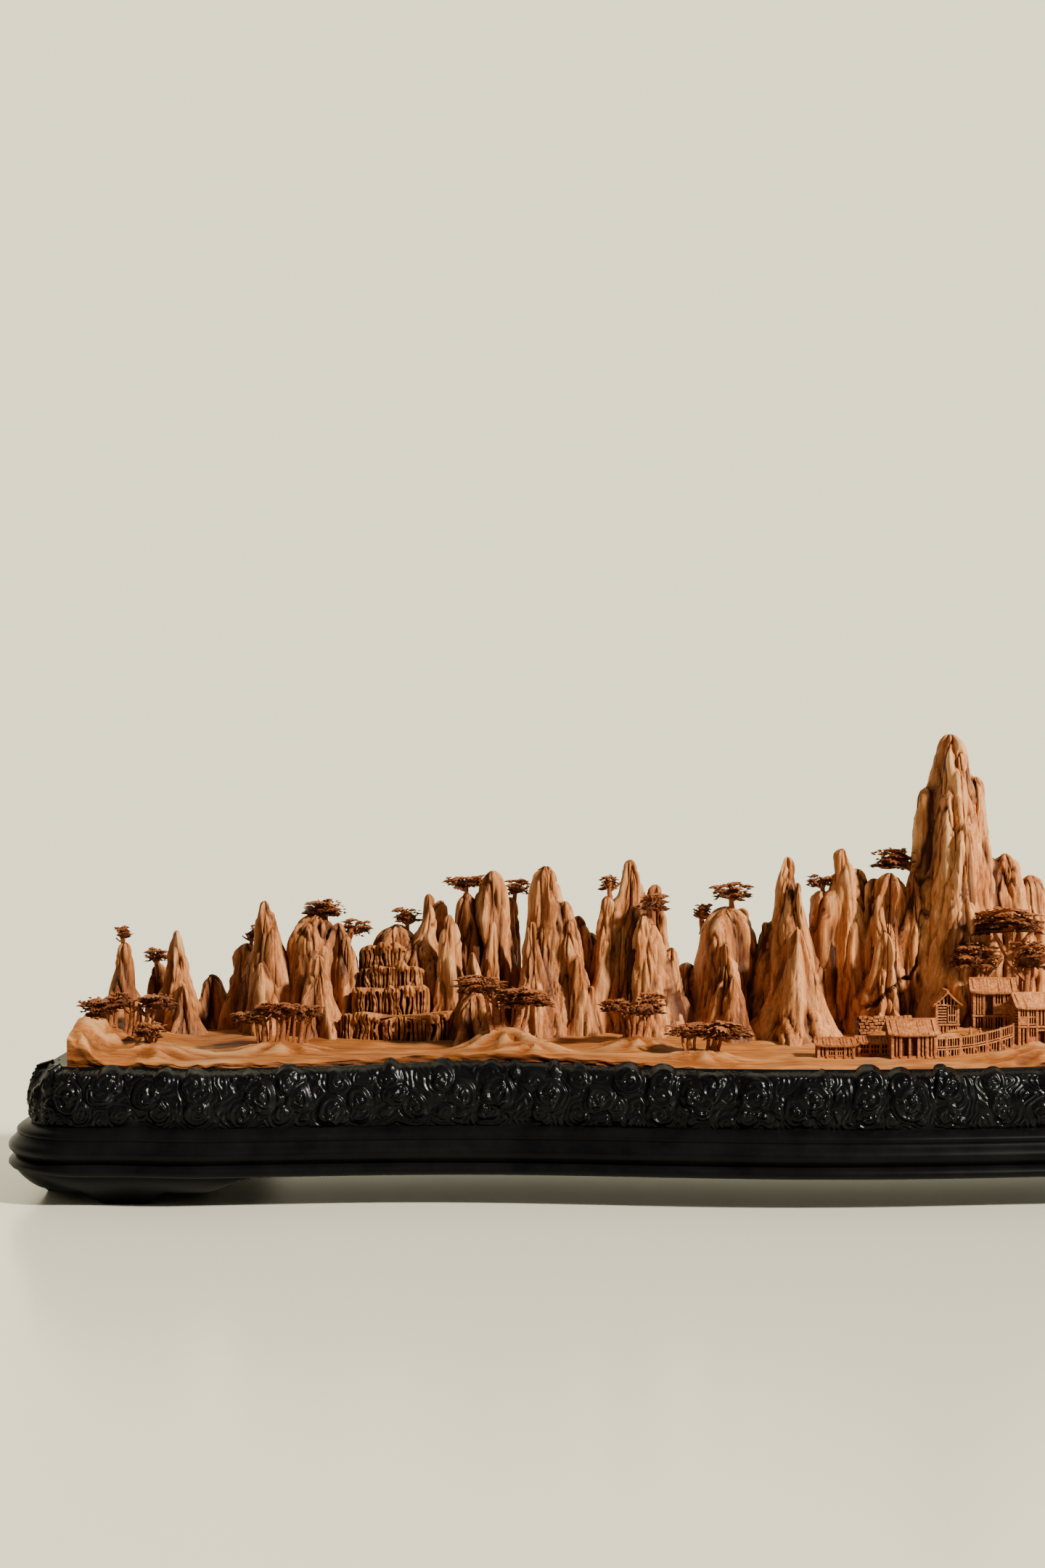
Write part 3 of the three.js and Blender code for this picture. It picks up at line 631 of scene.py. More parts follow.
def lacquer(name, gloss, dust_and_sheen, shine):
    """Black lacquer over wood: faint brown and grey clouds, uneven gloss, and on what faces up, grey that is
    partly dust and partly painted sheen.
    """
    material, nodes, links = new_material(name)
    shader = nodes["Principled BSDF"]
    patches = clouds(nodes, links, PATCH_CELLS, 5)
    brush = clouds(nodes, links, BRUSH_CELLS, 4)
    upward = part_of(nodes, links, nodes.new("ShaderNodeNewGeometry").outputs["Normal"], "Z")
    # Grey on what faces up: partly dust, partly painted sheen
    dust_and_sheen_share = spread(nodes, links, upward, 0, dust_and_sheen, DUST_AND_SHEEN_FROM)
    black = blended(nodes, links, "MIX", dust_and_sheen_share, ramp(nodes, links, patches, LACQUER_TONES), DUST_AND_SHEEN_TONE)
    links.new(black, shader.inputs["Base Color"])
    links.new(spread(nodes, links, patches, gloss * 0.75, gloss * 1.3), shader.inputs["Roughness"])
    shader.inputs["Specular IOR Level"].default_value = shine
    links.new(bumped(nodes, links, brush, BRUSH_DEPTH, 0.25), shader.inputs["Normal"])
    return material


# One row per mix of the wood: its grain's cells per metre along x, y and z, and its light, middle and
# dark tone
WOODS = {
    "carved": ((520, 520, 75), (0.6, 0.29, 0.115), (0.43, 0.17, 0.052), (0.25, 0.078, 0.018)),
    "long_grain": ((45, 420, 420), (0.43, 0.18, 0.045), (0.3, 0.102, 0.022), (0.18, 0.054, 0.009)),
    "shaded": ((900, 900, 900), (0.42, 0.165, 0.062), (0.29, 0.095, 0.03), (0.16, 0.045, 0.013)),
    "joinery": ((500, 500, 500), (0.5, 0.22, 0.085), (0.36, 0.13, 0.042), (0.22, 0.07, 0.02)),
}
rock_wood, ground_wood, foliage_wood, village_wood = (
    sandalwood(f"{cut}_sandalwood", *mix) for cut, mix in WOODS.items()
)
gloss_lacquer = lacquer("scroll_lacquer", 0.25, 0.003, 0.1)
satin_lacquer = lacquer("moulding_lacquer", 0.38, 0.01, 0.06)


# Rocks

ROCKS = LEFT_ROCKS + MIDDLE_ROCKS + RIGHT_ROCKS
# Sides of a rock's plan by its half width
PLAN_SIDES = [(24, 8), (14, 6), (0, 5)]
FLAT_SHARE = 0.5
PLAN_SHARPNESS = 0.85
FRONT_DENSITY = 0.6
ROW_STEP = 2.1
ROW_CROWDING = 1.4
TONGUE_WIDTH = 6.0
TONGUE_HEAD = 14
FACET_WIDTH = 8.5
FACET_HEIGHT = 19
NEAR_ROCK = 10
BLEND = 2.8  # softness of the joins between rocks, in mm
MERGE_STEPS = 3
MERGE_LIMIT = 5.0
MERGE_REACH = 60
MERGE_EASE = 40  # depth under a tip over which the joins take full effect
TIP_TRIM = 0.12
TIP_TRIM_DEPTH = 13
CREVICE_REACH = 2.4


def taper_share(down, tall, half_width, blunt, power):
    """Share of the foot's half width left at a depth of down mm under the tip: a round cap, then a flank
    that widens as a power of the depth, and a flared foot."""
    cap = np.clip(down / (TIP_HEIGHT * blunt * half_width), 0, 1)
    deep = np.clip(down / tall, 0, 1)
    flare = FOOT_FLARE * np.exp(-FLARE_FALL * (1 - deep)) * deep
    return blunt * np.sqrt(cap * (2 - cap)) + (1 - blunt) * deep**power + flare


def rock_envelope(number, down, angle):
    """A rock's reach from its axis in mm: its taper on a plan of flat sides with soft corners, swelling and
    shrinking a little on its way down."""
    _, _, top, half_width, taper, _ = ROCKS[number]
    sides = next(count for over, count in PLAN_SIDES if half_width >= over)
    step = 2 * np.pi / sides
    chord = np.cos(step / 2) / np.cos(angle % step - step / 2)
    plan = PLAN_SHARPNESS * chord + (1 - PLAN_SHARPNESS) * (1 + np.cos(step / 2)) / 2
    plan = plan / np.cos(step / 2) ** FLAT_SHARE
    buttress = 0.1 * np.sin(3 * angle + 2.4 * number)
    buttress = buttress + 0.07 * np.sin(5 * angle + 1.7 * number + down / 40)
    shoulder = 0.09 * noise(angle * 3 / (2 * np.pi), down / 16, number + 11, 3)
    share = taper_share(down, top - ROCK_ROOT, half_width, *TAPERS[taper])
    return half_width * share * plan * (1 + buttress + shoulder)


def tongues(angle, down, tall, girth, rng, count, lift):
    """Upright ridges, each with a round-pointed head somewhere up the rock, that widen downwards. Where they
    overlap, the one that stands out furthest hides the rest, which leaves sharp grooves between them."""
    relief = np.zeros_like(down + angle)
    for _ in range(count):
        head = tall * rng.uniform(0.0, 0.85)
        below = np.clip(down - head, 0, None)
        middle = rng.uniform(0, 2 * np.pi) + rng.normal(0, 0.12) * below / 30
        off = np.abs((angle - middle + np.pi) % (2 * np.pi) - np.pi) * girth
        widening = np.sqrt(np.clip(below / TONGUE_HEAD, 0, 1)) + 0.4 * below / tall
        width = TONGUE_WIDTH * rng.uniform(0.6, 1.4) * widening
        aside = np.clip(off / np.maximum(width, 0.01), 0, 1)
        ridge = 0.6 * np.sqrt(1 - aside**2) + 0.4 * (1 - aside)
        stand = lift * rng.uniform(0.55, 1) * (0.6 + 0.4 * head / tall) * smooth(below / 2.5)
        relief = np.maximum(relief, stand * ridge)
    return relief


def neighbours(number):
    """The rocks whose feet come within a few mm of this one's."""
    x, y, _, half_width, _, _ = ROCKS[number]
    return [
        other
        for other, (other_x, other_y, _, other_width, _, _) in enumerate(ROCKS)
        if other != number
        and abs(other_x - x) < half_width + other_width + NEAR_ROCK
        and abs(other_y - y) < ROCK_DEPTH * (half_width + other_width) + NEAR_ROCK
    ]


def gap_to(number, x, y, z):
    """Distance from each point to a rock's flank at its height, or to its tip above it; below 0 inside."""
    tip_x, tip_y, top, half_width, taper, lean = ROCKS[number]
    tall = top - ROCK_ROOT
    down = np.clip(top - z, 0, tall)
    reach = half_width * taper_share(down, tall, half_width, *TAPERS[taper])
    beside = np.hypot(x - tip_x - lean * down / tall, (y - tip_y) / ROCK_DEPTH) - reach
    return np.where(z > top, np.hypot(np.clip(beside, 0, None), z - top), beside)


def rock_points(number, reach, angle, down, sway):
    """x, y and z on a rock: reach from its leaning, swaying axis, stretched from front to back."""
    tip_x, tip_y, top, _, _, lean = ROCKS[number]
    x = tip_x + lean * down / (top - ROCK_ROOT) + sway + reach * np.cos(angle)
    return x, tip_y + ROCK_DEPTH * reach * np.sin(angle), top - down


def merged(number, reach, angle, down, sway):
    """The reach grown where other rocks stand close, onto the soft union of them all, which lies where the
    sum of exp(-gap / BLEND) over the rocks is 1; and how near each point is to another rock, from 0 to 1."""
    own = reach
    others = neighbours(number)
    limit = own + MERGE_LIMIT * smooth(down / MERGE_EASE)
    for _ in range(MERGE_STEPS):
        x, y, z = rock_points(number, reach, angle, down, sway)
        total = np.exp(-(reach - own) / BLEND)
        for other in others:
            gap = np.clip(gap_to(other, x, y, z), -3 * BLEND, MERGE_REACH)
            total = total + np.exp(-gap / BLEND)
        reach = np.clip(reach + BLEND * np.log(total), own, limit)
    near = np.zeros_like(reach)
    for other in others:
        gap = np.clip(gap_to(other, x, y, z), 0, None)
        near = np.maximum(near, np.exp(-gap / CREVICE_REACH))
    return reach, near


# Pitch, length along the height, sharpness and seed
BROAD_FLUTES = (7.5, 34, 4.0, 31)
FINE_FLUTES = (3.3, 20, 3.0, 41)
FLUTE_DRIFT = 1.5
DRIFT_REACH = 45


def flutes(x, y, z, pitch, long, sharpness, seed):
    """Upright flutes that wander, fork and end: noise over the plan that drifts with the height, 0 along its
    sharp valleys and towards 1 on the crowns between them."""
    drift_x = FLUTE_DRIFT * noise(z / long, x / DRIFT_REACH, seed + 1)
    drift_y = FLUTE_DRIFT * noise(z / long, y / DRIFT_REACH, seed + 2)
    value = noise(x / pitch + drift_x, y / pitch + drift_y, seed)
    value = value + 0.25 * noise(x / pitch * 2.3, z / long * 2, seed + 3)
    return np.clip(sharpness * np.abs(value), 0, 1) ** 0.7


# The crack across the foot of the main massif: x and z along its line, in order, and of its upper branch
CRACK = [(-97, 98.5), (-88, 101), (-80, 105), (-70, 114), (-61, 120), (-56, 121), (-51, 129), (-48, 142)]
CRACK_BRANCH = [(-51, 129), (-45, 137), (-42, 150)]
CRACK_HALF_WIDTH = 1.1
CRACK_DEPTH = 3.0
# The rocks that it crosses have a finer grid
CRACKED_LEFT, CRACKED_RIGHT, CRACKED_BACK = -80, -45, 27
CRACKED_ROCKS = [
    i for i, (x, y, *_) in enumerate(ROCKS) if CRACKED_LEFT < x < CRACKED_RIGHT and y < CRACKED_BACK
]
CRACKED_STEP = 1.0


def crack_share(x, z):
    """1 on the crack's line, falling to 0 at its half width, which swells and shrinks along it."""
    away = np.full_like(x, np.inf)
    for line in (CRACK, CRACK_BRANCH):
        for (x0, z0), (x1, z1) in zip(line[:-1], line[1:]):
            run, rise = x1 - x0, z1 - z0
            along = np.clip(((x - x0) * run + (z - z0) * rise) / (run**2 + rise**2), 0, 1)
            away = np.minimum(away, np.hypot(x - x0 - along * run, z - z0 - along * rise))
    away = away + 0.5 * noise(x / 2.3, z / 2.3, 71)
    return smooth(1.6 - 1.1 * away / CRACK_HALF_WIDTH)


BROAD_DEPTH = 2.5
FINE_DEPTH = 1.2
FACET_DEPTH = 2.5
TONGUE_LIFT = (0.3, 2.0, 5.6)  # share of the rock's half width, least and most
LEAST_REACH = 0.12


def rock_grid(number, side_step):
    """Angles and depths of a rock's points: rows crowded towards the tip, and sides towards the front."""
    _, _, top, half_width, _, _ = ROCKS[number]
    tall = top - ROCK_ROOT
    row_step, side_step = (CRACKED_STEP, CRACKED_STEP) if number in CRACKED_ROCKS else (ROW_STEP, side_step)
    sides = max(24, round(2 * np.pi * half_width * ROCK_DEPTH / side_step))
    rows = max(18, round(tall / row_step))
    down = tall * np.linspace(1, 0.01, rows)[:, None] ** ROW_CROWDING
    even = (np.arange(sides) / sides)[None, :]
    angle = 2 * np.pi * even - FRONT_DENSITY * np.sin(2 * np.pi * (even - 0.75))
    return np.broadcast_arrays(angle, down)


def rock(number, side_step):
    """A tapering pillar merged with its neighbours and carved into overlapping tongues, wandering flutes and
    flat facets, darkened with painted shade in its grooves and close to other rocks, and lightened with a
    painted highlight on its tip and crests."""
    _, _, top, half_width, _, _ = ROCKS[number]
    tall = top - ROCK_ROOT
    rng = np.random.default_rng(1000 + number)
    angle, down = rock_grid(number, side_step)
    sway = 1.2 * noise(down / 30, 0 * down, number + 7) * smooth(3 * down / tall)
    own = rock_envelope(number, down, angle)
    reach, near = merged(number, own, angle, down, sway)
    x, y, z = rock_points(number, reach, angle, down, sway)
    share, least, most = TONGUE_LIFT
    lift = np.clip(share * half_width, least, most)
    count = int(5 + half_width * tall / 140)
    turns = angle / (2 * np.pi)
    wander = noise(3 * turns, down / 26, number, 3)
    big = tongues(angle + 0.08 * wander, down, tall, np.maximum(reach, 1), rng, count, lift)
    broad = flutes(x, y, z, *BROAD_FLUTES)
    fine = flutes(x, y, z, *FINE_FLUTES)
    lanes = max(5, round(2 * np.pi * half_width / FACET_WIDTH))
    storeys = down / FACET_HEIGHT + 0.6 * noise(5 * turns, down / 40, number, 5)
    flat = facets(lanes * turns + 0.5 * wander, storeys, number, lanes)
    patchy = smooth(0.6 + noise(x / 14, z / 20, 61))
    under_tip = 0.5 + 0.5 * smooth(down / 30)
    relief = big - 0.62 * lift * under_tip - BROAD_DEPTH * (1 - broad)
    relief = relief - FINE_DEPTH * (1 - fine) * (0.3 + 0.7 * patchy)
    relief = (relief + FACET_DEPTH * flat + 0.7) * smooth(reach / 6) * (1 - 0.3 * near)
    relief = relief - TIP_TRIM * own * np.exp(-down / TIP_TRIM_DEPTH)
    between = np.clip(1 - big / (0.35 * lift), 0, 1)
    # Painted shade: darker between the tongues and in the flutes' valleys, a little lighter on the facets
    groove_shade = 0.5 * between + 1.1 * (1 - broad) ** 2 + 0.65 * (1 - fine) ** 2 * patchy - 0.2 * flat
    if number in CRACKED_ROCKS:
        crack = crack_share(x, z) * (np.sin(angle) < 0.2)
        relief = relief - CRACK_DEPTH * crack
        # Painted shade in the crack
        groove_shade = groove_shade + 2.5 * crack
    reach = np.maximum(reach + relief, LEAST_REACH)
    x, y, z = rock_points(number, reach, angle, down, sway)
    half = LOG_LENGTH / 2 - ROCK_MARGIN
    x = np.clip(x, -half, half)
    y = np.minimum(y, log_back(x) - ROCK_MARGIN)
    # Painted shade in the grooves and close to other rocks
    painted_shade = np.clip(0.95 * np.clip(groove_shade, 0, 1) + 0.7 * near**2, 0, 1)
    # Painted highlight on the tip, the tongues' crests and the facets
    painted_highlight = 0.8 * np.exp(-down / (0.3 * tall)) + 0.5 * np.clip(1.5 * big / lift - 0.7, 0, 1) + 0.3 * flat
    return tube(xyz(x, y, z), painted_shade - np.clip(painted_highlight, 0, 1) * (1 - painted_shade))


def make_rocks():
    """Four pieces, by stretches of the log; the ones that are seen best have the shortest steps."""
    for name, left, right, side_step in (
        ("left_rocks", -600, -249, 1.75),
        ("middle_rocks", -249, -99, 1.9),
        ("village_rocks", -99, 40, 2.1),
        ("right_rocks", 40, 600, 3.3),
    ):
        skins = [rock(i, side_step) for i, (x, *_) in enumerate(ROCKS) if left <= x < right]
        make_piece(name, skins, rock_wood, "sandalwood_landscape")


# The log under them

GROUND_STEP_X = 2.4
GROUND_ROWS = 62
FRONT_ROWS = 10
EDGE_REACH = 7
# One row per set of knife strokes: depth, length, width and seed
KNIFE_STROKES = [(0.35, 30, 2.4, 501), (0.3, 11, 4.5, 502), (0.45, 60, 9, 509)]
# Where the front is roughest, near the left end, and how far that reaches
BARK_X, BARK_REACH = -545, 26
ROOTS_ROUND = 7
END_SHARES = (0.35, 0.7, 0.93)


def root_ridges(x, y):
    """Ridges that run down the mounds like roots: the sine of the direction round each, on its flank."""
    ridges = 0 * (x + y)
    for number, (mound_x, mound_y, rise, reach_x, reach_y) in enumerate(MOUNDS):
        across, along = (x - mound_x) / reach_x, (y - mound_y) / reach_y
        bell = np.exp(-(across**2 + along**2))
        wavy = ROOTS_ROUND * np.arctan2(along, across) + 1.5 * noise(x / 6, y / 6, 520 + number)
        ridges = ridges + min(0.14 * rise + 0.5, 2.0) * np.sin(wavy) * 4 * bell * (1 - bell)
    return ridges


def rough_end(ring, inward):
    """One end of the log: its section drawn in towards the middle in steps, each sunk unevenly."""
    middle = ring.mean(axis=1, keepdims=True)
    cuts = []
    for share in END_SHARES:
        cut = middle + share * (ring - middle)
        uneven = 0.9 * noise(cut[..., 1] / 6, cut[..., 2] / 4, 506 + inward)
        cut[..., 0] += inward * (0.9 + uneven) * smooth((1 - share) * 4)
        cuts.append(cut)
    return cuts


def make_ground():
    """The log as sections carried along x: up the back, over the carved ground to the front, and under.

    The ground has long shallow knife strokes; the front's lower edge is chipped and split along the grain,
    and both ends are left rough."""
    half = LOG_LENGTH / 2
    x = np.linspace(-half, half, round(LOG_LENGTH / GROUND_STEP_X))[:, None]
    top_share = np.linspace(1, 0, GROUND_ROWS)[None, :] ** 1.25
    front, back = log_front(x), log_back(x)
    y = front + top_share * (back - front)
    strokes = sum(deep * noise(x / long, y / wide, seed) for deep, long, wide, seed in KNIFE_STROKES)
    edge = smooth((y - front) / EDGE_REACH)
    ragged = 0.9 * noise(x / 5, 0 * x, 511) + 0.8 * facets(x / 17, 0 * x, 512)
    z = ground_height(x, y) + strokes * (0.3 + 0.7 * edge) + 1.3 * noise(x / 33, 0 * x, 508) * edge
    ridges = root_ridges(x, y)
    z = z + rim_lift(x) * (1 - smooth((y - front) / 45)) + (ragged - 0.8) * (1 - edge) ** 2 + ridges
    side = np.linspace(0, 1, FRONT_ROWS + 1)[None, 1:]
    rough = smooth(1 - np.abs(x - BARK_X) / BARK_REACH)
    chips = smooth(1.6 * noise(x / 9, 0 * x, 503) - 0.15) + rough
    splits = np.abs(noise(x / 16, 5 * side + 0.4 * noise(x / 7, 0 * x, 510), 504))
    front_z = z[:, -1:] + side * (LOG_BOTTOM - z[:, -1:])
    front_y = front + 1.5 * (1 - np.clip(3 * splits, 0, 1)) * side + 3.0 * chips * side**2
    front_y = front_y + 0.7 * noise(x / 4, 6 * side, 505)
    back_z = z[:, :1] + side[:, ::-1] * (LOG_BOTTOM - z[:, :1])
    back_y = back - 0.8 + 0.6 * noise(x / 7, 4 * side, 505)
    ys = np.concatenate([back_y, y, front_y], axis=1)
    zs = np.concatenate([back_z, z, front_z], axis=1)
    rings = xyz(x, ys, zs)
    rings = np.concatenate([*rough_end(rings[:1], 1), rings, *rough_end(rings[-1:], -1)[::-1]])
    # The front face is darkened as a painted shadow under the ground's edge, more in its splits, with rough
    # bark tone near the left end
    painted_shadow_and_bark = np.clip(0.55 + 0.5 * (1 - 3 * splits) + rough * side * 0.6 * noise(x / 3, 9 * side, 507), 0, 1)
    # Painted shade in the knife strokes' hollows and painted highlight on the root ridges
    shade = np.clip(-0.6 * strokes - 0.25 * ridges, -0.5, 0.6) * smooth((y - front) / 3)
    painted_light_and_tone = np.concatenate([0 * back_z, shade, painted_shadow_and_bark * smooth(side * 12)], axis=1)
    end_grain = np.full((len(END_SHARES), painted_light_and_tone.shape[1]), 0.3)
    skin = tube(rings, np.concatenate([end_grain, painted_light_and_tone, end_grain]))
    make_piece("carved_ground", [skin], ground_wood, "sandalwood_landscape", 40)


# The stepped waterfall

SLOT_PITCH = 2.6
PARTED_SHARE = 0.1
PARTING = 3.2
LOBE_WIDTH = 9.5
LOBE_RISE = 4.4
LOBE_SINK = 4
FALL_STEP = 0.42
FALL_ROW = 0.6


def slot_depth(beside, z, low, high, width, depth):
    """Upright slots with round ends: full depth along their middle line, running out over half a mm."""
    beyond = np.maximum(0, np.abs(z - (low + high) / 2) - (high - low) / 2)
    away = np.sqrt(beside**2 + beyond**2) - width
    return depth * smooth(0.5 - away / 0.5)


def fall_tier(tier, seed):
    """A bowed block whose front is a curtain of hanging strands: one long slot between neighbours, or a long
    and a short one, under a swollen lip that rises and sinks along the tier from lobe to lobe."""
    left, right, front, foot, top = tier
    tall = top - foot
    rng = np.random.default_rng(seed)
    slots = round((right - left) / SLOT_PITCH)
    lobe_count = max(3, round((right - left) / LOBE_WIDTH))
    u = np.linspace(0, 1, round((right - left) / FALL_STEP))[None, :]
    share = np.linspace(0, 1, round(tall / FALL_ROW))[:, None]
    lobe = u * lobe_count + 0.35 * np.sin(np.pi * u) * noise(u * lobe_count, 0 * u, seed + 7)
    swell = pillows(lobe)
    sunk = rng.uniform(0, LOBE_SINK, 2 * lobe_count)[np.floor(lobe).astype(int)]
    crown = top - sunk - LOBE_RISE * (1 - swell) + 1.6 * noise(u * slots / 1.6, 0 * u, seed + 3)
    crown = np.minimum(crown, top + 0.5)
    z = foot + share * (crown - foot)
    place = u * slots + 0.45 * noise(u * slots / 2, z / 7, seed)
    place = place + 0.35 * noise(u * slots / 1.3, 0 * z, seed + 5)
    column = np.clip(np.floor(place).astype(int), 0, slots - 1)
    beside = (place - column - 0.5) * SLOT_PITCH
    low = foot + tall * rng.uniform(0.0, 0.22, slots)
    high = top - tall * rng.uniform(0.08, 0.36, slots)
    parted = rng.uniform(0, 1, slots) < PARTED_SHARE
    split = np.where(parted, low + (high - low) * rng.uniform(0.35, 0.65, slots), high)
    width = rng.uniform(0.25, 0.75, slots)[column]
    depth = rng.uniform(1.5, 6.0, slots)[column]
    relief = 0 * z
    for start, end in ((low, split), (np.minimum(split + PARTING, high), high)):
        relief = np.maximum(relief, slot_depth(beside, z, start[column], end[column], width, depth))
    strands = 1.3 * pillows(place) + 0.7 * noise(u * slots * 1.7, z / 2.6, seed + 1)
    under_crown = np.sqrt(np.clip(1 - ((z - crown + 2.6) / 2.7).clip(0, 1) ** 2, 0, 1))
    lip = 1.7 + 0.8 * noise(u * slots / 1.5, z / 5, seed + 6)
    lip = lip * smooth((z - top + 0.38 * tall) / 6) * under_crown
    scallop = 1.9 * noise(u * slots / 4, z / 20, seed + 2)
    bow = TIER_BOW * (1 - (2 * u - 1) ** 4) ** 0.7
    blobs = 2.2 * np.clip(noise(u * slots * 1.6, z / 2.0, seed + 8), 0, 1) * (1 - smooth((z - foot - 3) / 3))
    y_front = front + 5.0 - bow + relief - strands - lip + scallop - 1.8 * swell * smooth(2 * share) - blobs
    back_u = np.linspace(1, 0, 6)[None, :]
    x = left + (right - left) * np.concatenate([u, back_u], axis=1)
    y = np.concatenate([y_front, FALL_BACK + 0 * z[:, :1] + 0 * back_u], axis=1)
    z = np.concatenate([z, z[:, -1:] + (z[:, :1] - z[:, -1:]) * (1 - back_u)], axis=1)
    # Painted shade in the slots and between the strands, and a little over the whole front
    grooves = np.clip(0.12 + relief / 3 + 0.3 * (1 - pillows(place)), 0, 1)
    painted_light_and_tone = np.concatenate([grooves, 0 * y[:, -6:]], axis=1)
    return tube(xyz(x, y, z), painted_light_and_tone)


def make_waterfall():
    """The tiers, lowest first, each with its own seed."""
    skins = [fall_tier(tier, 600 + 10 * i) for i, tier in enumerate(TIERS)]
    make_piece("waterfall", skins, rock_wood, "sandalwood_landscape")


# Pines

PLATE_POINTS = 9
CORE_SIDES = 22
PAD_DEPTH = 0.75
SPIKE_OUTLINE = [(-0.5, 0), (-0.35, -0.34), (0.1, -0.3), (1, -0.05), (0.45, 0.2), (0.1, 0.36), (-0.3, 0.3)]
# A trunk with its foot no higher than this grows out of the ground, and the others out of a rock
TRUNK_ON_GROUND = 80
THICK_TRUNK = 3


def leaf(rim):
    """A thin closed leaf: a rim of points between a low and a high middle."""
    here = np.arange(len(rim))
    after = np.roll(here, -1)
    points = np.concatenate([rim, [[0, 0, -0.5], [0, 0, 0.5]]])
    low, high = np.full_like(here, len(rim)), np.full_like(here, len(rim) + 1)
    fans = np.concatenate([np.stack([low, after, here], axis=-1), np.stack([high, here, after], axis=-1)])
    return Skin(points, np.zeros((0, 4), int), fans, np.zeros(len(points)))


def jagged(short, rise):
    """A leaf with a rim of long and short points by turns, the long ones lower."""
    here = np.arange(2 * PLATE_POINTS)
    turn = 2 * np.pi * here / len(here)
    radius = np.where(here % 2, 1.0, short)
    height = np.where(here % 2, -rise, rise)
    return leaf(xyz(radius * np.cos(turn), radius * np.sin(turn), height))


def spike():
    """A pointed flake: long towards +X, with a ragged root."""
    return leaf(xyz(*np.array(SPIKE_OUTLINE).T, 0))


def lobes(turn, seed):
    """Uneven outline of a crown, as a share of its half width."""
    return np.clip(1 + 0.22 * np.sin(2 * turn + seed) + 0.14 * np.sin(5 * turn + 2 * seed), 0.6, 1.12)


def core(pad, seed):
    """The underside of a crown, drawn together towards the trunks, dark with painted shade that is deepest
    at the bottom.
    """
    x, y, z, half_width, thickness = pad
    turn = (2 * np.pi * np.arange(CORE_SIDES) / CORE_SIDES)[None, :]
    level = np.linspace(0.06, 0.94, 6)[:, None]
    notches = 1 + 0.2 * noise(turn * 11 / np.pi, level * 4, seed, 22)
    reach = 0.62 * half_width * np.sin(np.pi * level) ** 0.6 * lobes(turn, seed) * notches
    height = z + thickness * (0.75 * level - 0.6)
    points = xyz(x + reach * np.cos(turn), y + PAD_DEPTH * reach * np.sin(turn), height)
    # Painted shade, deepest at the bottom
    return tube(points, 1 - 0.6 * level + 0 * reach)


def turning(yaw, pitch, roll, size, centre):
    """Matrices, one per copy: stretch by size, tilt by pitch and roll, turn by yaw, and move to centre."""
    (cy, sy), (cp, sp), (cr, sr) = ((np.cos(angle), np.sin(angle)) for angle in (yaw, pitch, roll))
    rows = [
        [cy * cp, cy * sp * sr - sy * cr, cy * sp * cr + sy * sr],
        [sy * cp, sy * sp * sr + cy * cr, sy * sp * cr - cy * sr],
        [-sp, cp * sr, cp * cr],
    ]
    turn = np.stack([np.stack(row, axis=-1) for row in rows], axis=1) * size[:, None, :]
    return np.concatenate([turn, centre[:, :, None]], axis=2)


def foliage(pad, seed):
    """A crown of flat jagged plates in three loose storeys, with pointed flakes lying outwards over and
    between them; the lower ones are darker with painted shade."""
    x, y, z, half_width, thickness = pad
    rng = np.random.default_rng(seed)

    def scattered(count, inner, outer, storeys):
        away = np.sqrt(rng.uniform(inner**2, outer**2, count))
        turn = rng.uniform(0, 2 * np.pi, count)
        reach = half_width * away * lobes(turn, seed)
        storey = rng.integers(0, storeys, count) / (storeys - 1)
        rise = -0.55 + 0.75 * storey + 0.4 * (1 - away**2) * rng.uniform(0.2, 1, count)
        height = z + thickness * rise + 1.1 * np.sin(2 * turn + seed) * away
        centre = xyz(x + reach * np.cos(turn), y + PAD_DEPTH * reach * np.sin(turn), height)
        # Painted shade, deeper on the lower storeys, with some random tone
        shade = np.clip(0.7 * (1 - storey) + rng.uniform(-0.15, 0.4, count), 0, 0.95)
        return turn, centre, shade

    plates = int(8 + 1.1 * half_width)
    turn, centre, shade = scattered(plates, 0.0, 0.85, 3)
    radius = rng.uniform(0.24, 0.44, plates) * (half_width + 3)
    size = xyz(radius, 0.8 * radius, rng.uniform(1.6, 2.8, plates))
    tilt = rng.normal(0, 0.13, plates)
    skins = [repeated(jagged(0.66, 0.16), turning(turn, tilt, -tilt, size, centre), shade)]
    flakes = int(30 + 0.7 * half_width**2)
    turn, centre, shade = scattered(flakes, 0.1, 1.0, 4)
    length = rng.uniform(1.7, 3.6, flakes) * (0.75 + 0.02 * half_width)
    width = rng.uniform(0.45, 0.8, flakes) * length
    size = xyz(length, width, rng.uniform(0.9, 1.6, flakes))
    yaw = turn + rng.normal(0, 0.45, flakes)
    places = turning(yaw, rng.normal(0.06, 0.22, flakes), rng.normal(0, 0.3, flakes), size, centre)
    return [*skins, repeated(spike(), places, shade)]


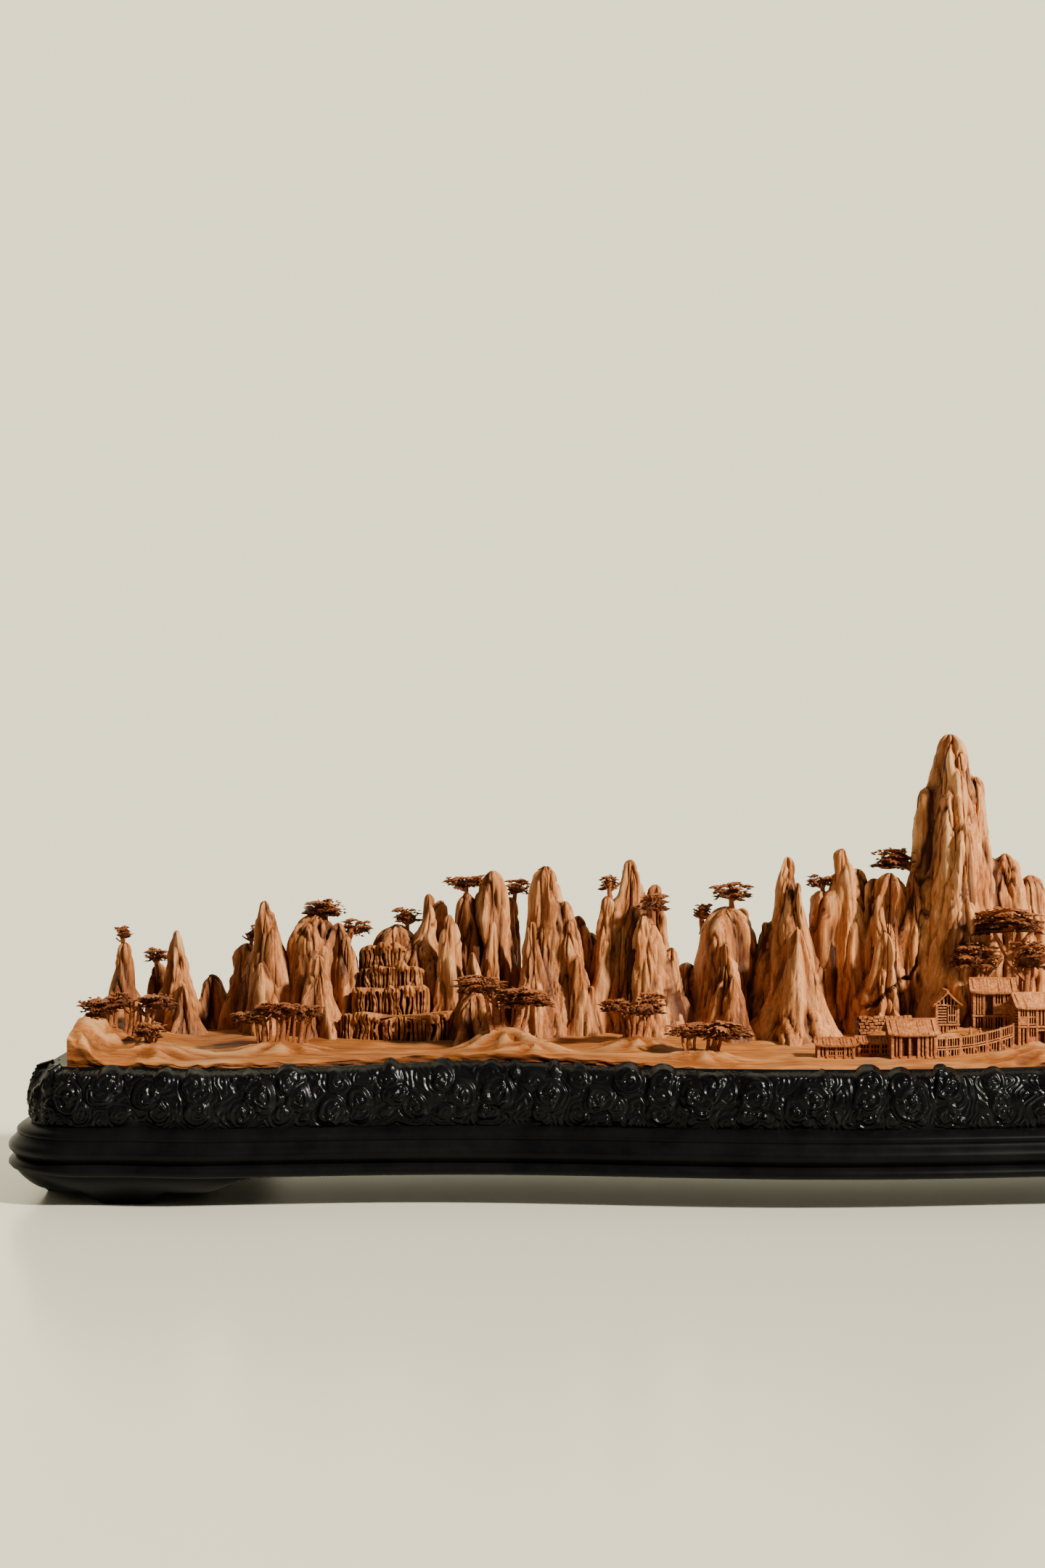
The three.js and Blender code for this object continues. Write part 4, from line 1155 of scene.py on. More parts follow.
def stem(start, end, thick, thin, bend, sides=9, rows=12, seed=0, flare=0.9):
    """A tapering branch from start to end, bent sideways in an arc, with lumpy bark and a spreading root."""
    start, end = np.array(start, float), np.array(end, float)
    t = np.linspace(0, 1, rows)[:, None]
    turn = (2 * np.pi * np.arange(sides) / sides)[None, :]
    path = start + t * (end - start) + np.array(bend) * np.sin(np.pi * t)
    along = end - start
    along = along / np.linalg.norm(along)
    side = np.cross(along, [0, 1, 0] if abs(along[1]) < 0.9 else [1, 0, 0])
    side = side / np.linalg.norm(side)
    other = np.cross(along, side)
    lumps = 1 + 0.22 * noise(turn * 4 / (2 * np.pi), t * 5, seed, 4)
    radius = (thick + (thin - thick) * t) * lumps * (1 + flare * np.exp(-8 * t))
    ring = radius[..., None] * (np.cos(turn)[..., None] * side + np.sin(turn)[..., None] * other)
    return tube(path[:, None, :] + ring)


def make_pines():
    """Crowns, and trunks under them with four forks each: a slender trunk that grows out of the ground has a
    thinner stem on both sides."""
    skins = [skin for i, pad in enumerate(PADS) for skin in foliage(pad, 700 + i)]
    skins += [core(pad, 700 + i) for i, pad in enumerate(PADS)]
    rng = np.random.default_rng(77)
    for i, (x, y, foot, top, radius, lean) in enumerate(TRUNKS):
        bend = (rng.uniform(-1.0, 1.0), rng.uniform(-0.6, 0.6), 0)
        thick = 0.95 * radius
        grounded = foot <= TRUNK_ON_GROUND
        root = ground_height(x, y) - 1.5 if grounded else foot
        skins.append(stem((x, y, root), (x + 0.6 * lean, y, top), thick, 0.8 * thick, bend, seed=i))
        for beside in (-1, 1) if grounded and radius < THICK_TRUNK else ():
            start = (x + beside * rng.uniform(2.2, 3.6), y + rng.uniform(-2, 2), root)
            end = (start[0] + 0.6 * lean + 1.5 * beside, start[1], top - 1)
            skins.append(stem(start, end, 0.6 * thick, 0.45 * thick, bend, 6, 7, 50 + i, 0.7))
        rise = top - root
        fork = (x + 0.5 * lean, y, top - 0.32 * rise)
        for aside in rng.uniform(-1, 1, 4):
            reach = (2.5 + 0.18 * rise) * aside
            tip = (x + 0.6 * lean + 1.3 * reach, y + rng.uniform(-3, 3), top + rng.uniform(-2.5, 0))
            skins.append(stem(fork, tip, 0.6 * thick, 0.3 * thick, (0, 0, -0.8), 5, 5, i, 0))
    make_piece("pines", skins, foliage_wood, "sandalwood_landscape", 50)


# The village

CUBE = np.array([[0, 1, 5, 4], [1, 2, 6, 5], [2, 3, 7, 6], [3, 0, 4, 7], [3, 2, 1, 0], [4, 5, 6, 7]])


def bars(starts, ends, width, depth, painted_light_and_tone=0.0):
    """Square-edged bars, one from each start to its end: eight corners each, width across and depth from
    front to back; a level bar is as high as its width."""
    starts, ends = np.atleast_2d(np.asarray(starts, float)), np.atleast_2d(np.asarray(ends, float))
    along = ends - starts
    along = along / np.linalg.norm(along, axis=1, keepdims=True)
    upright = np.abs(along[:, 2:]) > 0.7
    across = np.cross(along, np.where(upright, [[0.0, 1.0, 0.0]], [[0.0, 0.0, 1.0]]))
    across = across / np.linalg.norm(across, axis=1, keepdims=True)
    other = np.cross(along, across)
    wide = np.where(upright, width, depth) / 2
    deep = np.where(upright, depth, width) / 2
    corners = [across * wide * a + other * deep * b for a, b in ((1, 1), (-1, 1), (-1, -1), (1, -1))]
    points = np.stack([place + corner for place in (starts, ends) for corner in corners], axis=1)
    quads = (CUBE[None] + 8 * np.arange(len(starts))[:, None, None]).reshape(-1, 4)
    return Skin(points.reshape(-1, 3), quads, np.zeros((0, 3), int), np.full(8 * len(starts), painted_light_and_tone))


def block(low, high, painted_light_and_tone=0.0):
    """A plain block between two corners."""
    low, high = np.array(low, float), np.array(high, float)
    x, y, _ = (low + high) / 2
    width, depth, _ = high - low
    return bars((x, y, low[2]), (x, y, high[2]), width, depth, painted_light_and_tone)


def placed(skin, x, y, degrees):
    """A skin turned about the upright and moved to x and y."""
    angle = np.radians(degrees)
    turn = np.array([[np.cos(angle), np.sin(angle), 0], [-np.sin(angle), np.cos(angle), 0], [0, 0, 1]])
    return skin._replace(points=skin.points @ turn + [x, y, 0])


ROOF_PANELS = 5
TILE_PITCH = 2.0
TILE_COURSES = 6
EAVE_LIFT = 1.4
ROOF_THICKNESS = 0.9


def tiled_slope(width, reach, drop, ridge, side):
    """Half a roof: a sagging slab from ridge to eave, ribbed down the slope and stepped in courses."""
    u = np.linspace(-0.5, 0.5, 4 * round(width / TILE_PITCH) + 1)[:, None]
    v = np.linspace(0, 1, 2 * TILE_COURSES)[None, :]
    x = u * width * (1 + 0.04 * v)
    y = side * reach * v
    z = ridge - drop * (1.25 * v - 0.25 * v * v) + EAVE_LIFT * v * (2 * u) ** 4
    tiled = np.where(np.floor(ROOF_PANELS * (u + 0.5)) % 2 == 0, 0.25, 1.0)
    course = v * TILE_COURSES
    ribs = tiled * (0.6 * pillows(x / TILE_PITCH) + 0.35 * (course - np.floor(course)))
    upper, lower = xyz(x, y, z + ribs), xyz(x, y, z - ROOF_THICKNESS)
    section = np.concatenate([upper, lower[:, ::-1]], axis=1)
    # Painted shade in the grooves between the ribs and at the steps between courses, and under the slab
    painted_light_and_tone = np.clip(1.1 - 1.9 * ribs / tiled, 0, 1) * tiled**2
    shade = np.concatenate([painted_light_and_tone, np.full_like(painted_light_and_tone, 0.3)], axis=1)
    return tube(section, shade) if side < 0 else tube(section[:, ::-1], shade[:, ::-1])


def uprights(left, right, y, low, high, pitch, bar):
    """Upright bars at even steps between two places."""
    x = np.linspace(left, right, max(2, round((right - left) / pitch) + 1))
    feet = xyz(x, y, low)
    return bars(feet, feet + [0, 0, high - low], bar, bar)


def rails(left, right, y, heights, bar):
    """Level bars at the given heights."""
    starts = xyz(left, y, heights)
    return bars(starts, starts + [right - left, 0, 0], bar, bar)


# Pitch and width of the upright bars
LATTICE = (1.5, 0.5)
SLATS = (1.9, 0.9)
LOUVRE_PITCH = 1.7


def bay(left, right, y, low, high, kind):
    """What stands between two posts: lattice, slats, a panel under a lattice, a louvre, or a doorway."""
    across = (left, right, y)
    waist = low + 0.42 * (high - low)
    if kind == "lattice":
        return [uprights(*across, low, high, *LATTICE), rails(*across, [low + 0.5, waist, high - 0.5], 0.6)]
    if kind == "slats":
        return [uprights(*across, low, high, *SLATS), rails(*across, [high - 0.6], 0.9)]
    if kind == "panel":
        middle = (low + waist) / 2
        board = bars((left, y, middle), (right, y, middle), waist - low, 0.7)
        return [board, uprights(*across, waist, high, *LATTICE), rails(*across, [waist, high - 0.5], 0.8)]
    if kind == "louvre":
        return [rails(*across, np.arange(low + 0.6, high, LOUVRE_PITCH), 0.75)]
    return [rails(*across, [high - 0.8, high - 2.2], 0.8)]


# Kinds of bay, and their chances in the long walls and in the end walls
BAY_KINDS = ["lattice", "slats", "panel", "louvre", "open"]
LONG_WALL_CHANCES = [0.3, 0.25, 0.2, 0.1, 0.15]
END_WALL_CHANCES = [0.4, 0.3, 0.2, 0.1, 0]
POST_PITCH = 5.5
GABLE_BARS = 7
TWO_STOREYS_OVER = 20
CORE_INSET = 1.4
CORE_SHADE = 0.95
POST = 1.25
PLATE_HALF = 0.5


def storey_walls(half, deep, level, storey, rng):
    """One storey's posts, with differing bays between them on all four sides."""
    low, high = level + 1, level + storey
    posts = np.linspace(-half, half, max(2, round(2 * half / POST_PITCH) + 1))
    skins = []
    for side_y in (-deep, deep):
        skins.append(uprights(-half, half, side_y, level, high, 2 * half / (len(posts) - 1), POST))
        kinds = rng.choice(BAY_KINDS, len(posts) - 1, p=LONG_WALL_CHANCES)
        for left, right, kind in zip(posts[:-1] + 0.6, posts[1:] - 0.6, kinds):
            skins += bay(left, right, side_y, low, high, kind)
    for side_x in (-half, half):
        kinds = rng.choice(BAY_KINDS, 2, p=END_WALL_CHANCES)
        for left, right, kind in zip((-deep, 0.5), (-0.5, deep), kinds):
            skins += [placed(skin, side_x, 0, 90) for skin in bay(left, right, 0, low, high, kind)]
    return skins


def roof(half, deep, eaves, ridge):
    """A tiled gable roof: two slopes and a ridge bar, and at each end two rafters over a row of bars, before
    three boards dark with painted shade, each narrower and higher than the one before."""
    reach, half_ridge = deep + EAVE, half + EAVE
    drop = ridge - eaves + 1
    skins = [tiled_slope(2 * half_ridge, reach, drop, ridge, side) for side in (-1, 1)]
    skins.append(bars((-half_ridge, 0, ridge + 0.4), (half_ridge, 0, ridge + 0.4), 1.1, 1.3))
    for end in (-half + 0.4, half - 0.4):
        gable = np.linspace(-deep, deep, GABLE_BARS)
        feet = xyz(end, gable, eaves - 1)
        rise = (1 - np.abs(gable) / reach) * drop
        skins.append(bars(feet, feet + xyz(0, 0, rise), 0.8, 0.8))
        for side in (-1, 1):
            skins.append(bars((end, side * reach, eaves - 1), (end, 0, ridge), 1.2, 1.2))
        inside = end - np.sign(end)
        for share in (0.25, 0.5, 0.75):
            top = ridge - 1.2 - 1.25 * drop * share * deep / reach
            # Boards dark with painted shade inside the gable
            skins.append(bars((inside, 0, eaves - 2), (inside, 0, top), 0.6, 2 * share * deep, 1.0))
    return skins


def house(row):
    """A timber house: a core dark with painted shade behind walls of one or two storeys, under a tiled gable
    roof.
    """
    x, y, degrees, width, depth, floor, eaves, ridge = row
    rng = np.random.default_rng(round(1000 + x))
    half, deep = width / 2, depth / 2
    level = max(floor, GROUND_FRONT)
    storey = (eaves - level) / (2 if eaves - level > TWO_STOREYS_OVER else 1)
    core_half, core_deep = half - CORE_INSET, deep - CORE_INSET
    # The core is dark with painted shade
    skins = [block((-core_half, -core_deep, floor), (core_half, core_deep, eaves), CORE_SHADE)]
    skins.append(block((-half, -deep, floor), (half, deep, level + 1.2)))
    while level < eaves - 1:
        skins += storey_walls(half, deep, level, storey, rng)
        level += storey
        if level < eaves - 1:
            low, high = level - PLATE_HALF, level + PLATE_HALF
            skins.append(block((-half - 1, -deep - 1, low), (half + 1, deep + 1, high)))
    skins += roof(half, deep, eaves, ridge)
    return [placed(skin, x, y, degrees) for skin in skins]


# The fence, in two tiers: heights of its foot rail, of the rails between the tiers and of the top rail
FENCE_RAILS = (0.6, 7.6, 9.0, 14.2)
FENCE_PICKETS = 35
FENCE_SLATS = 29
FENCE_POSTS = 7
FENCE_BENDS = 13
FENCE_SUNK = -2
BRACE_LEAN = 0.09
# Width and depth of its bars
PICKET = (0.5, 0.7)
SLAT = (0.6, 0.8)
FENCE_POST = (1.15, 1.4)
BRACE = (0.7, 0.7)


def fence_line(share, height, back=0.0):
    """Points along the fence's curve, which climbs and bends back to the right."""
    x = FENCE_LEFT + share * (FENCE_RIGHT - FENCE_LEFT)
    y = FENCE_Y + FENCE_BOW * share**2 + back
    return xyz(x, y, FENCE_FOOT + FENCE_LIFT * share**2 + height)


def fence():
    """Close pickets above, wider slats with leaning braces below, rails and posts, before a backing dark
    with painted shade.
    """
    low, middle, shelf, high = FENCE_RAILS
    rng = np.random.default_rng(92)
    share = np.linspace(0, 1, FENCE_PICKETS) + rng.uniform(-0.004, 0.004, FENCE_PICKETS)
    tops = fence_line(share, high + rng.uniform(-0.2, 1.1, FENCE_PICKETS))
    skins = [bars(fence_line(share, shelf), tops, *PICKET)]
    share = np.linspace(0, 1, FENCE_SLATS) + rng.uniform(-0.006, 0.006, FENCE_SLATS)
    feet = fence_line(share + rng.uniform(-0.006, 0.006, FENCE_SLATS), FENCE_SUNK)
    skins.append(bars(feet, fence_line(share, middle), *SLAT))
    posts = np.linspace(0, 1, FENCE_POSTS)
    skins.append(bars(fence_line(posts, FENCE_SUNK), fence_line(posts, high + 0.9), *FENCE_POST))
    braces = posts[:-1]
    skins.append(bars(fence_line(braces, middle), fence_line(braces + BRACE_LEAN, low), *BRACE))
    for height, back, width, depth, painted_light_and_tone in (
        (middle, 0, 0.8, 1.2, 0),
        (shelf, 0, 0.6, 1.2, 0),
        (high, 0, 0.8, 1.2, 0),
        # A backing dark with painted shade behind the pickets
        (6.5, 2.4, 14, 0.8, 1),
    ):
        line = fence_line(np.linspace(0, 1, FENCE_BENDS), height, back)
        skins.append(bars(line[:-1], line[1:], width, depth, painted_light_and_tone))
    return skins


COURSE_HEIGHT = 1.9
STONE_HEIGHT = 1.45
JOINT_HALF = 0.25


def stone_wall(left, right, y, foot, top):
    """Courses of rough stones: blocks of uneven length, every course shifted, before a backing dark with
    painted shade, which shows in the joints.
    """
    rng = np.random.default_rng(91)
    skins = []
    for course, low in enumerate(np.arange(foot, top, COURSE_HEIGHT)):
        joints = np.cumsum(rng.uniform(2.2, 4.2, 24)) + left - 1.5 * (course % 2)
        joints = joints[joints < right]
        starts = xyz(joints[:-1] + JOINT_HALF, y, low + 0.9)
        starts[:, 1:] += rng.uniform(-0.35, 0.35, (len(starts), 2))
        ends = starts.copy()
        ends[:, 0] = joints[1:] - JOINT_HALF
        ends[:, 2] += rng.uniform(-0.45, 0.45, len(starts))
        skins.append(bars(starts, ends, STONE_HEIGHT, 3))
    # A backing dark with painted shade, seen in the joints
    skins.append(block((left, y - 0.8, foot - 6), (right - 2, y + 1.4, top - 0.6), 1.0))
    return skins


# Outline of a figure: distance from its axis and height
ROBE = [(1.3, 0), (1.15, 1.2), (0.75, 2.6), (0.95, 3.4), (0.3, 4.0), (0.6, 4.5), (0.55, 5.0), (0.2, 5.3)]


def figure(x, y, z):
    """A tiny robed walker: a flaring robe, a waist and a round head, turned about the upright."""
    radius, height = np.array(ROBE).T[..., None]
    turn = 2 * np.pi * np.arange(10) / 10
    across, along = radius * np.cos(turn), 0.8 * radius * np.sin(turn)
    return tube(xyz(x + across, y + along, z + height))


def make_village():
    """Houses, fence, stone wall and two walkers."""
    skins = [skin for row in HOUSES for skin in house(row)]
    skins += fence()
    skins += stone_wall(-95, -58, -28, 90, 101)
    skins += [figure(-27, -38, 90.5), figure(-21.5, -40, 90)]
    make_piece("village", skins, village_wood, "sandalwood_landscape", sharp_angle=35)


# The stand

# Mouldings up the stand's side: height and inset at the lower edge, and bulge before the next one
MOULDINGS = [
    (18, 6.5, 0),
    (18.7, 2.2, 2.0),
    (24.6, 2.4, 0),
    (25.6, 4.4, 4.3),
    (37, 4.6, 0.2),
    (38.2, 5.6, 2.2),
    (44.2, 9.5, 0),
    (45, 13.5, 1),
    (79, 22, 0),
]
RELIEF_FOOT = 44.5
RELIEF_TOP = 77.5
STRAND_PITCH = 3.2
TURNS = 2.3  # windings of a scroll from its eye to its rim
EYE_SHARE = 0.22
FULL_SCROLL = 9
BALL_HEIGHT = 3.2
RIM_GROOVE = 1.6
SCROLL_REACH = 20
CREST_LIMIT = 81.2
BAND_THICKNESS = 24
FACE_LEAN = 5.5
END_LEAN = 6
# One row per line of scrolls along the band: height, radius, step and start
FRONT_SCROLLS = [(63, 9.5, 29, 8), (54, 7, 24, 20), (70.5, 8, 27, 22), (50.5, 4, 22, 10), (75, 3.5, 31, 15)]
BACK_SCROLLS = [(65, 11, 30, 12), (52, 6, 37, 0)]
# Shares of the way round at which the bands have a section, closer in the half that is seen, and rows
FRONT_SHARES = np.concatenate([np.linspace(0, 0.5, 1120, endpoint=False), np.linspace(0.5, 1, 500)])
BACK_SHARES = np.linspace(0, 1, 700)
FRONT_BAND_ROWS, BACK_BAND_ROWS = 48, 22


def half_way_round(count):
    """Points and outward normals at even steps along the edge, from the middle of the left end, round the
    front, to the middle of the right end: straight runs and quarter circles, moved by the wave in front."""
    straight_x = STAND_LENGTH / 2 - CORNER_RADIUS
    straight_y = STAND_DEPTH / 2 - CORNER_RADIUS
    arc = np.pi / 2 * CORNER_RADIUS
    marks = np.cumsum([0, straight_y, arc, 2 * straight_x, arc, straight_y])
    s = np.linspace(0, marks[-1], count)
    first_turn = np.clip((s - marks[1]) / arc, 0, 1)
    second_turn = np.clip((s - marks[3]) / arc, 0, 1)
    angle = np.pi + np.pi / 2 * (first_turn + second_turn)
    middle_x = -straight_x + np.clip(s - marks[2], 0, 2 * straight_x)
    middle_y = -np.clip(s, 0, straight_y) + np.clip(s - marks[4], 0, straight_y)
    nx, ny = np.cos(angle), np.sin(angle)
    x = middle_x + CORNER_RADIUS * nx
    y = middle_y + CORNER_RADIUS * ny + wave(x) * smooth(-ny)
    return s, x, y, nx, ny


def drawn_in(x, y, nx, ny, insets, heights):
    """Points drawn in from the edge by their insets, at their heights."""
    return xyz(x - insets * nx, y - insets * ny, heights)


def moulding_profile():
    """Insets and heights up the side: straight between mouldings, plus half a sine for each bulge."""
    insets, heights = [], []
    for (low, inset, bulge), (high, next_inset, _) in zip(MOULDINGS[:-1], MOULDINGS[1:]):
        t = np.linspace(0, 1, 8 if bulge else 2)[:-1]
        insets.append(inset + (next_inset - inset) * t - bulge * np.sin(np.pi * t))
        heights.append(low + (high - low) * t)
    return np.concatenate(insets), np.concatenate(heights)


BED_GAP = 0.8
BED_INSET = 26
RIM_INSETS = (24, 25.5)
RIM_ROLL = 0.6
UNDERSIDE_INSET = 12


def stand_body():
    """The plan's outline carried up the mouldings, then over the flat rim and down into the log's bed."""
    _, *edge = half_way_round(160)
    edge = [np.concatenate([a[:-1], -a[:-1]]) for a in edge]
    x, y, nx, ny = edge
    insets, heights = moulding_profile()
    half = LOG_LENGTH / 2 + BED_GAP
    bed_x = np.clip(x - BED_INSET * nx, -half, half)
    front, back = log_front(bed_x) - BED_GAP, log_back(bed_x) + BED_GAP
    bed_y = np.clip(y - BED_INSET * ny, front, back)
    bed_y = np.where(np.abs(ny) > 0.5, np.where(ny < 0, front, back), bed_y)
    rings = [
        [drawn_in(*edge, UNDERSIDE_INSET, ARCH_Z)],
        drawn_in(*edge, insets[:, None], heights[:, None]),
        [drawn_in(*edge, inset, z) for inset, z in zip(RIM_INSETS, (RIM_Z + RIM_ROLL, RIM_Z))],
        [xyz(bed_x, bed_y, z) for z in (RIM_Z, LOG_BOTTOM - 0.3)],
    ]
    return tube(np.concatenate(rings))


def sections(edge, inset, z, half_turn):
    """Sections along the edge, each point drawn in by its inset; a half turn takes them to the back."""
    flip = np.array([-1, -1, 1]) if half_turn else 1
    return flip * drawn_in(*(a[:, None] for a in edge), inset, z)


FOOT_THICKNESS = 46
# Lower edge of a foot: distance from the corner's middle along the edge, and height there
FOOT_LONG_SIDE = [(0, 8), (34, 8), (53, 0), (73, 0), (88, 8), (110, 8), (137, 17.5)]
FOOT_SHORT_SIDE = [(0, 8), (34, 8), (53, 0), (66, 0), (78, 8), (90, 8), (101, 17.5)]


def eased(distance, marks):
    """Heights at the marks joined by S-curves."""
    places, heights = np.array(marks, float).T
    distance = np.clip(distance, 0, None)
    low = np.clip(np.searchsorted(places, distance, side="right") - 1, 0, len(places) - 2)
    t = smooth((distance - places[low]) / (places[low + 1] - places[low]))
    return heights[low] + (heights[low + 1] - heights[low]) * t


def foot(half_turn, right):
    """A corner foot: sections carried round the corner, the outer face drawn in as it comes down to a
    scalloped edge."""
    s, *edge = half_way_round(900)
    corner = STAND_DEPTH / 2 - CORNER_RADIUS + np.pi / 4 * CORNER_RADIUS
    corner = s[-1] - corner if right else corner
    away = (corner - s) if right else (s - corner)
    kept = (away < FOOT_LONG_SIDE[-1][0]) & (away > -FOOT_SHORT_SIDE[-1][0])
    away, *edge = (a[kept] for a in (away, *edge))
    low = np.where(away > 0, eased(away, FOOT_LONG_SIDE), eased(-away, FOOT_SHORT_SIDE))[:, None]
    top = ARCH_Z + 1
    t = np.linspace(0, 1, 10)[None, :]
    z = top + (low - top) * t
    face = 4.5 + 14.5 * smooth((top - z) / top) ** 0.9 + 1.2 * t**8
    inset = np.concatenate([FOOT_THICKNESS + 0 * low, FOOT_THICKNESS + 0 * low, face], axis=1)
    return tube(sections(edge, inset, np.concatenate([low, 0 * low + top, z], axis=1), half_turn))


def strand(t):
    """Soft round strands side by side: 0 at whole t and 1 half way between."""
    return np.sin(np.pi * t) ** 2


def scroll_centres(whole, seed, rows):
    """Centres, radii, senses and phases of the scrolls, row by row, in uneven steps along the whole band."""
    rng = np.random.default_rng(seed)
    scrolls = []
    for height, radius, step, start in rows:
        count = int((whole - start) / step)
        s = start + step * (np.arange(count) + rng.uniform(-0.22, 0.22, count))
        z = height + rng.uniform(-2.4, 2.4, count)
        r = radius * rng.uniform(0.7, 1.2, count)
        sense = np.where(rng.uniform(0, 1, count) < 0.75, 1, -1)
        phase = rng.uniform(0, 2 * np.pi, count)
        scrolls.append(np.stack([s, z, r, sense, phase], axis=-1))
    return np.concatenate(scrolls)


def scroll_relief(s, z, scrolls):
    """Height of the carving: each scroll is a dome wound by a spiral of round strands about a ball, and
    between the scrolls strands follow the nearest rim."""
    height = np.zeros_like(s)
    nearest = np.full_like(s, 1e3)
    bent_s, bent_z = 1.7 * noise(s / 10, z / 8, 813), 1.7 * noise(s / 9, z / 9, 814)
    for centre_s, centre_z, radius, sense, phase in scrolls:
        near = np.abs(s[:, 0] - centre_s) < radius + SCROLL_REACH
        ds, dz = s[near] + bent_s[near] - centre_s, z[near] + bent_z[near] - centre_z
        r = np.sqrt(ds**2 + dz**2)
        turn = np.arctan2(dz, ds)
        arm = TURNS * (r / radius) ** 0.75 - sense * (turn + phase) / (2 * np.pi)
        size = np.clip(radius / FULL_SCROLL, 0.5, 1.3)
        dome = np.sqrt(np.clip(1 - (r / radius) ** 2, 0, 1))
        side = 0.8 + 0.2 * np.cos(turn + phase)
        wound = 2.8 * side * dome * (0.55 + 0.45 * r / radius) + 1.2 * strand(arm) * smooth(2.5 * dome)
        ball = BALL_HEIGHT * np.sqrt(np.clip(1 - (r / (EYE_SHARE * radius)) ** 2, 0, 1))
        curl = size * np.maximum(wound, ball)
        height[near] = np.maximum(height[near], np.where(r < radius, curl, 0))
        nearest[near] = np.where(np.abs(r - radius) < np.abs(nearest[near]), r - radius, nearest[near])
    drift = noise(s / 19, z / 8, 811)
    lines = nearest / STRAND_PITCH + 1.8 * drift + 0.5 * noise(s / 7, z / 5, 812)
    between = strand(lines) + 1.4 * drift - 0.2 * smooth(nearest / 9)
    return height + smooth(nearest / RIM_GROOVE) * np.clip(between, -0.8, 3)


def scroll_band(shares, rows, seed, scroll_rows, half_turn):
    """The carved band through shares of the way along the edge, as sections: up inside, over a crest that
    follows the topmost scrolls, and down the carved face, which leans in at the top, most at the ends."""
    whole, *edge = half_way_round(2400)
    s = shares * whole[-1]
    edge = [np.interp(s, whole, values) for values in edge]
    scrolls = scroll_centres(whole[-1], seed, scroll_rows)
    crest = np.full_like(s, RELIEF_TOP - 0.4)
    for centre_s, centre_z, radius, _, _ in scrolls:
        rise = np.sqrt(np.clip(radius**2 - (s - centre_s) ** 2, 0, None))
        crest = np.maximum(crest, np.where(rise > 0, centre_z + rise, 0))
    crest = np.minimum(crest, CREST_LIMIT) + 0.3 * noise(s / 5, 0 * s, seed + 1)
    if not half_turn:
        crest = crest + np.clip(rim_lift(edge[0]), 0, None)
    to_end = np.minimum(s, whole[-1] - s)
    crest = crest - 3 * np.exp(-((to_end / 60) ** 2))
    t = np.linspace(1, 0, rows)[None, :]
    z = RELIEF_FOOT + t * (crest[:, None] - RELIEF_FOOT)
    relief = scroll_relief(s[:, None] + 0 * z, z, scrolls)
    more_lean = END_LEAN * np.exp(-((to_end / 90) ** 2))[:, None]
    rolled = 4.0 * smooth((t - 0.88) / 0.12) ** 2
    fade = (0.1 + 0.9 * smooth(t / 0.05)) * (1 - 0.4 * smooth((t - 0.93) / 0.07))
    face = 13.6 - 1.2 * np.sin(np.pi * t) + (FACE_LEAN + more_lean) * t**3 + rolled - relief * fade
    inner = np.array([BAND_THICKNESS, BAND_THICKNESS, BAND_THICKNESS - 1])[None, :] + more_lean
    inner_z = np.stack([0 * s + RELIEF_FOOT, 0 * s + RIM_Z - 1, crest - 1.2], axis=1)
    inset = np.concatenate([inner, face], axis=1)
    return tube(sections(edge, inset, np.concatenate([inner_z, z], axis=1), half_turn))


def make_stand():
    """The mouldings, bed and feet in duller lacquer, and glossy bands of scrolls in front and behind."""
    feet = [foot(half_turn, right) for half_turn in (False, True) for right in (False, True)]
    skins = [stand_body(), *feet]
    make_piece("stand_mouldings_and_feet", skins, satin_lacquer, "carved_stand", 50)
    front = scroll_band(FRONT_SHARES, FRONT_BAND_ROWS, 801, FRONT_SCROLLS, False)
    back = scroll_band(BACK_SHARES, BACK_BAND_ROWS, 802, BACK_SCROLLS, True)
    for name, skin in (("front_scroll_band", front), ("back_scroll_band", back)):
        make_piece(name, [skin], gloss_lacquer, "carved_stand")


# Room, light and camera

CAMERA_PLACE = (-0.297, -1.35, 0.242)
LENS_MM = 50
SENSOR_MM = 36
NEAR_ROOM = (0.125, 0.103, 0.077)
FAR_ROOM = (1.76, 1.62, 1.1)
DIM_FROM, BRIGHT_FROM = -0.1, 0.85
FLOOR_COLOUR = (0.72, 0.71, 0.6, 1)
FLOOR_ROUGHNESS = 0.22
FLOOR_SIZE = 14
FLOOR_MIDDLE = (0, 2, 0)


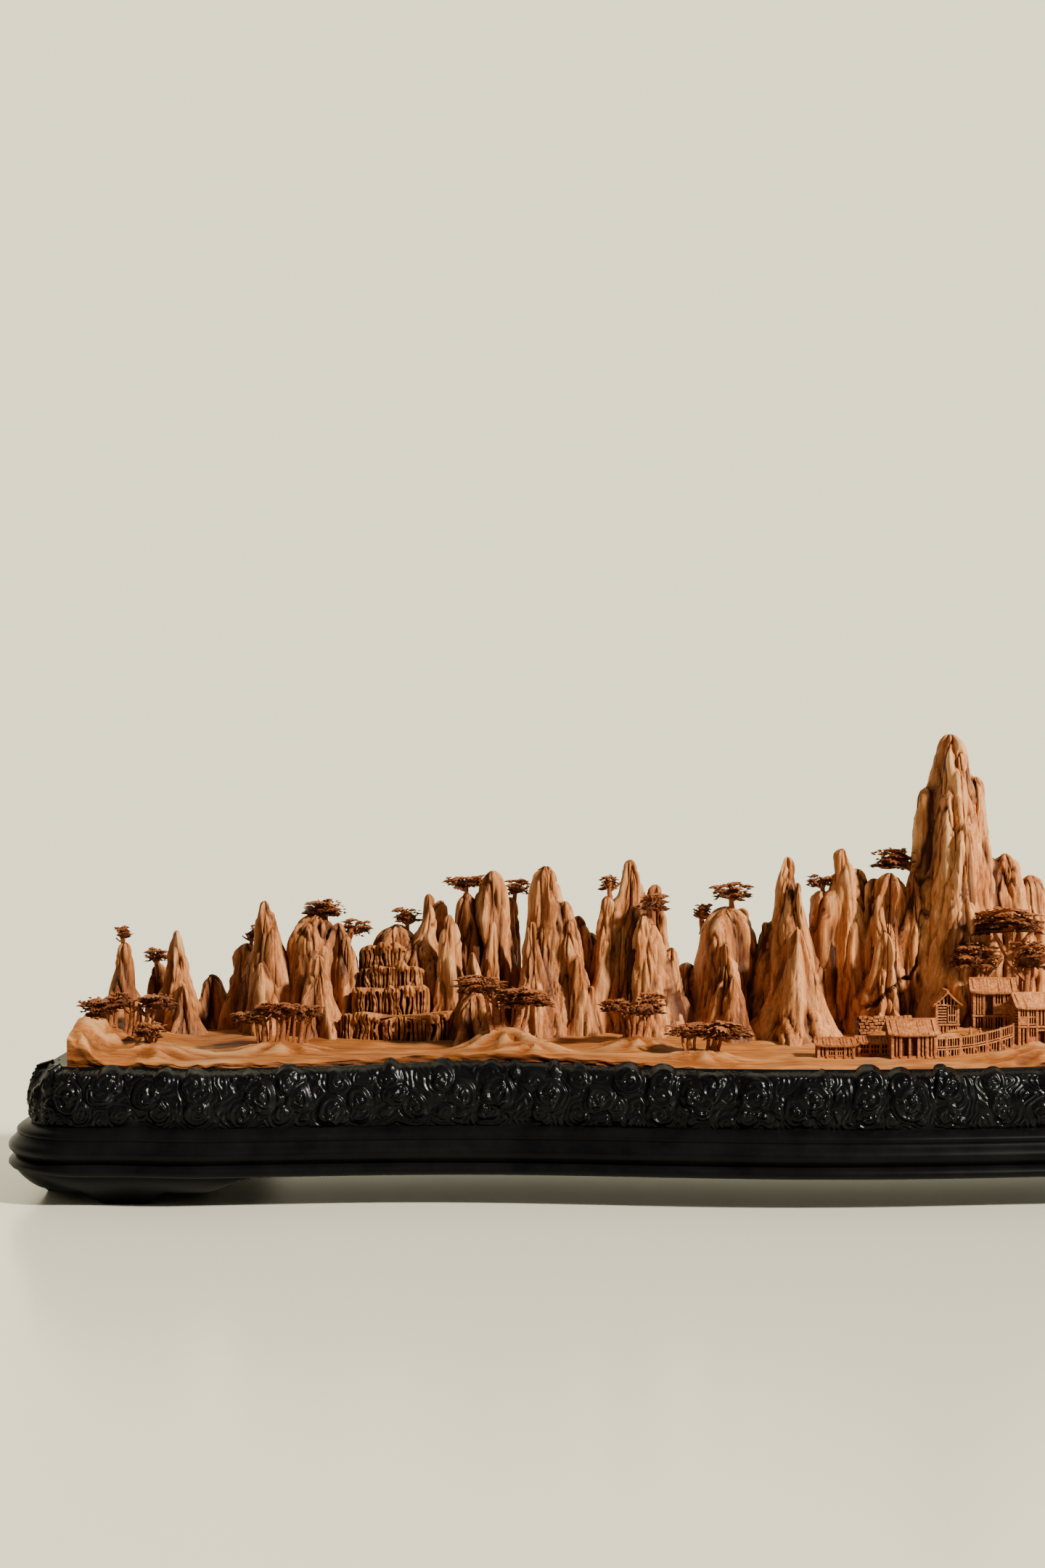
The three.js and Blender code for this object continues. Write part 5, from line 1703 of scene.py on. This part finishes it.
def make_room():
    """A pale room: cream and bright at the far end, dimmer at the near end and overhead."""
    world = bpy.data.worlds.new("pale_room")
    bpy.context.scene.world = world
    world.use_nodes = True
    nodes, links = world.node_tree.nodes, world.node_tree.links
    place = nodes.new("ShaderNodeTexCoord")
    depth = part_of(nodes, links, place.outputs["Generated"], "Y")
    depth = spread(nodes, links, depth, 0, 1, DIM_FROM, BRIGHT_FROM)
    depth.node.interpolation_type = "SMOOTHSTEP"
    cream = ramp(nodes, links, depth, [(0, NEAR_ROOM), (1, FAR_ROOM)])
    links.new(cream, nodes["Background"].inputs["Color"])


def make_floor():
    """A pale, slightly glossy floor."""
    bpy.ops.mesh.primitive_plane_add(size=FLOOR_SIZE, location=FLOOR_MIDDLE)
    floor = bpy.context.object
    floor.name = "floor"
    material, nodes, _ = new_material("pale_floor")
    nodes["Principled BSDF"].inputs["Base Color"].default_value = FLOOR_COLOUR
    nodes["Principled BSDF"].inputs["Roughness"].default_value = FLOOR_ROUGHNESS
    floor.data.materials.append(material)


def add_sun(name, bearing, height, power, spread_angle, colour):
    """A soft sun: bearing to the right of the camera and height above the floor, in degrees."""
    lamp = bpy.data.lights.new(name, "SUN")
    lamp.energy = power
    lamp.angle = np.radians(spread_angle)
    lamp.color = colour
    light = bpy.data.objects.new(name, lamp)
    light.rotation_euler = (np.radians(90 - height), 0, np.radians(bearing))
    bpy.context.collection.objects.link(light)


def make_camera():
    """A level camera before the left half."""
    lens = bpy.data.cameras.new("camera")
    lens.lens = LENS_MM
    lens.sensor_width = SENSOR_MM
    camera = bpy.data.objects.new("camera", lens)
    camera.location = CAMERA_PLACE
    camera.rotation_euler = (np.pi / 2, 0, 0)
    bpy.context.collection.objects.link(camera)
    bpy.context.scene.camera = camera


make_camera()
make_rocks()
make_ground()
make_waterfall()
make_pines()
make_village()
make_stand()
make_room()
make_floor()
add_sun("key", 56, 35, 9.8, 6, (1.0, 0.93, 0.81))
add_sun("fill", -50, 30, 0.25, 40, (1.0, 0.92, 0.82))
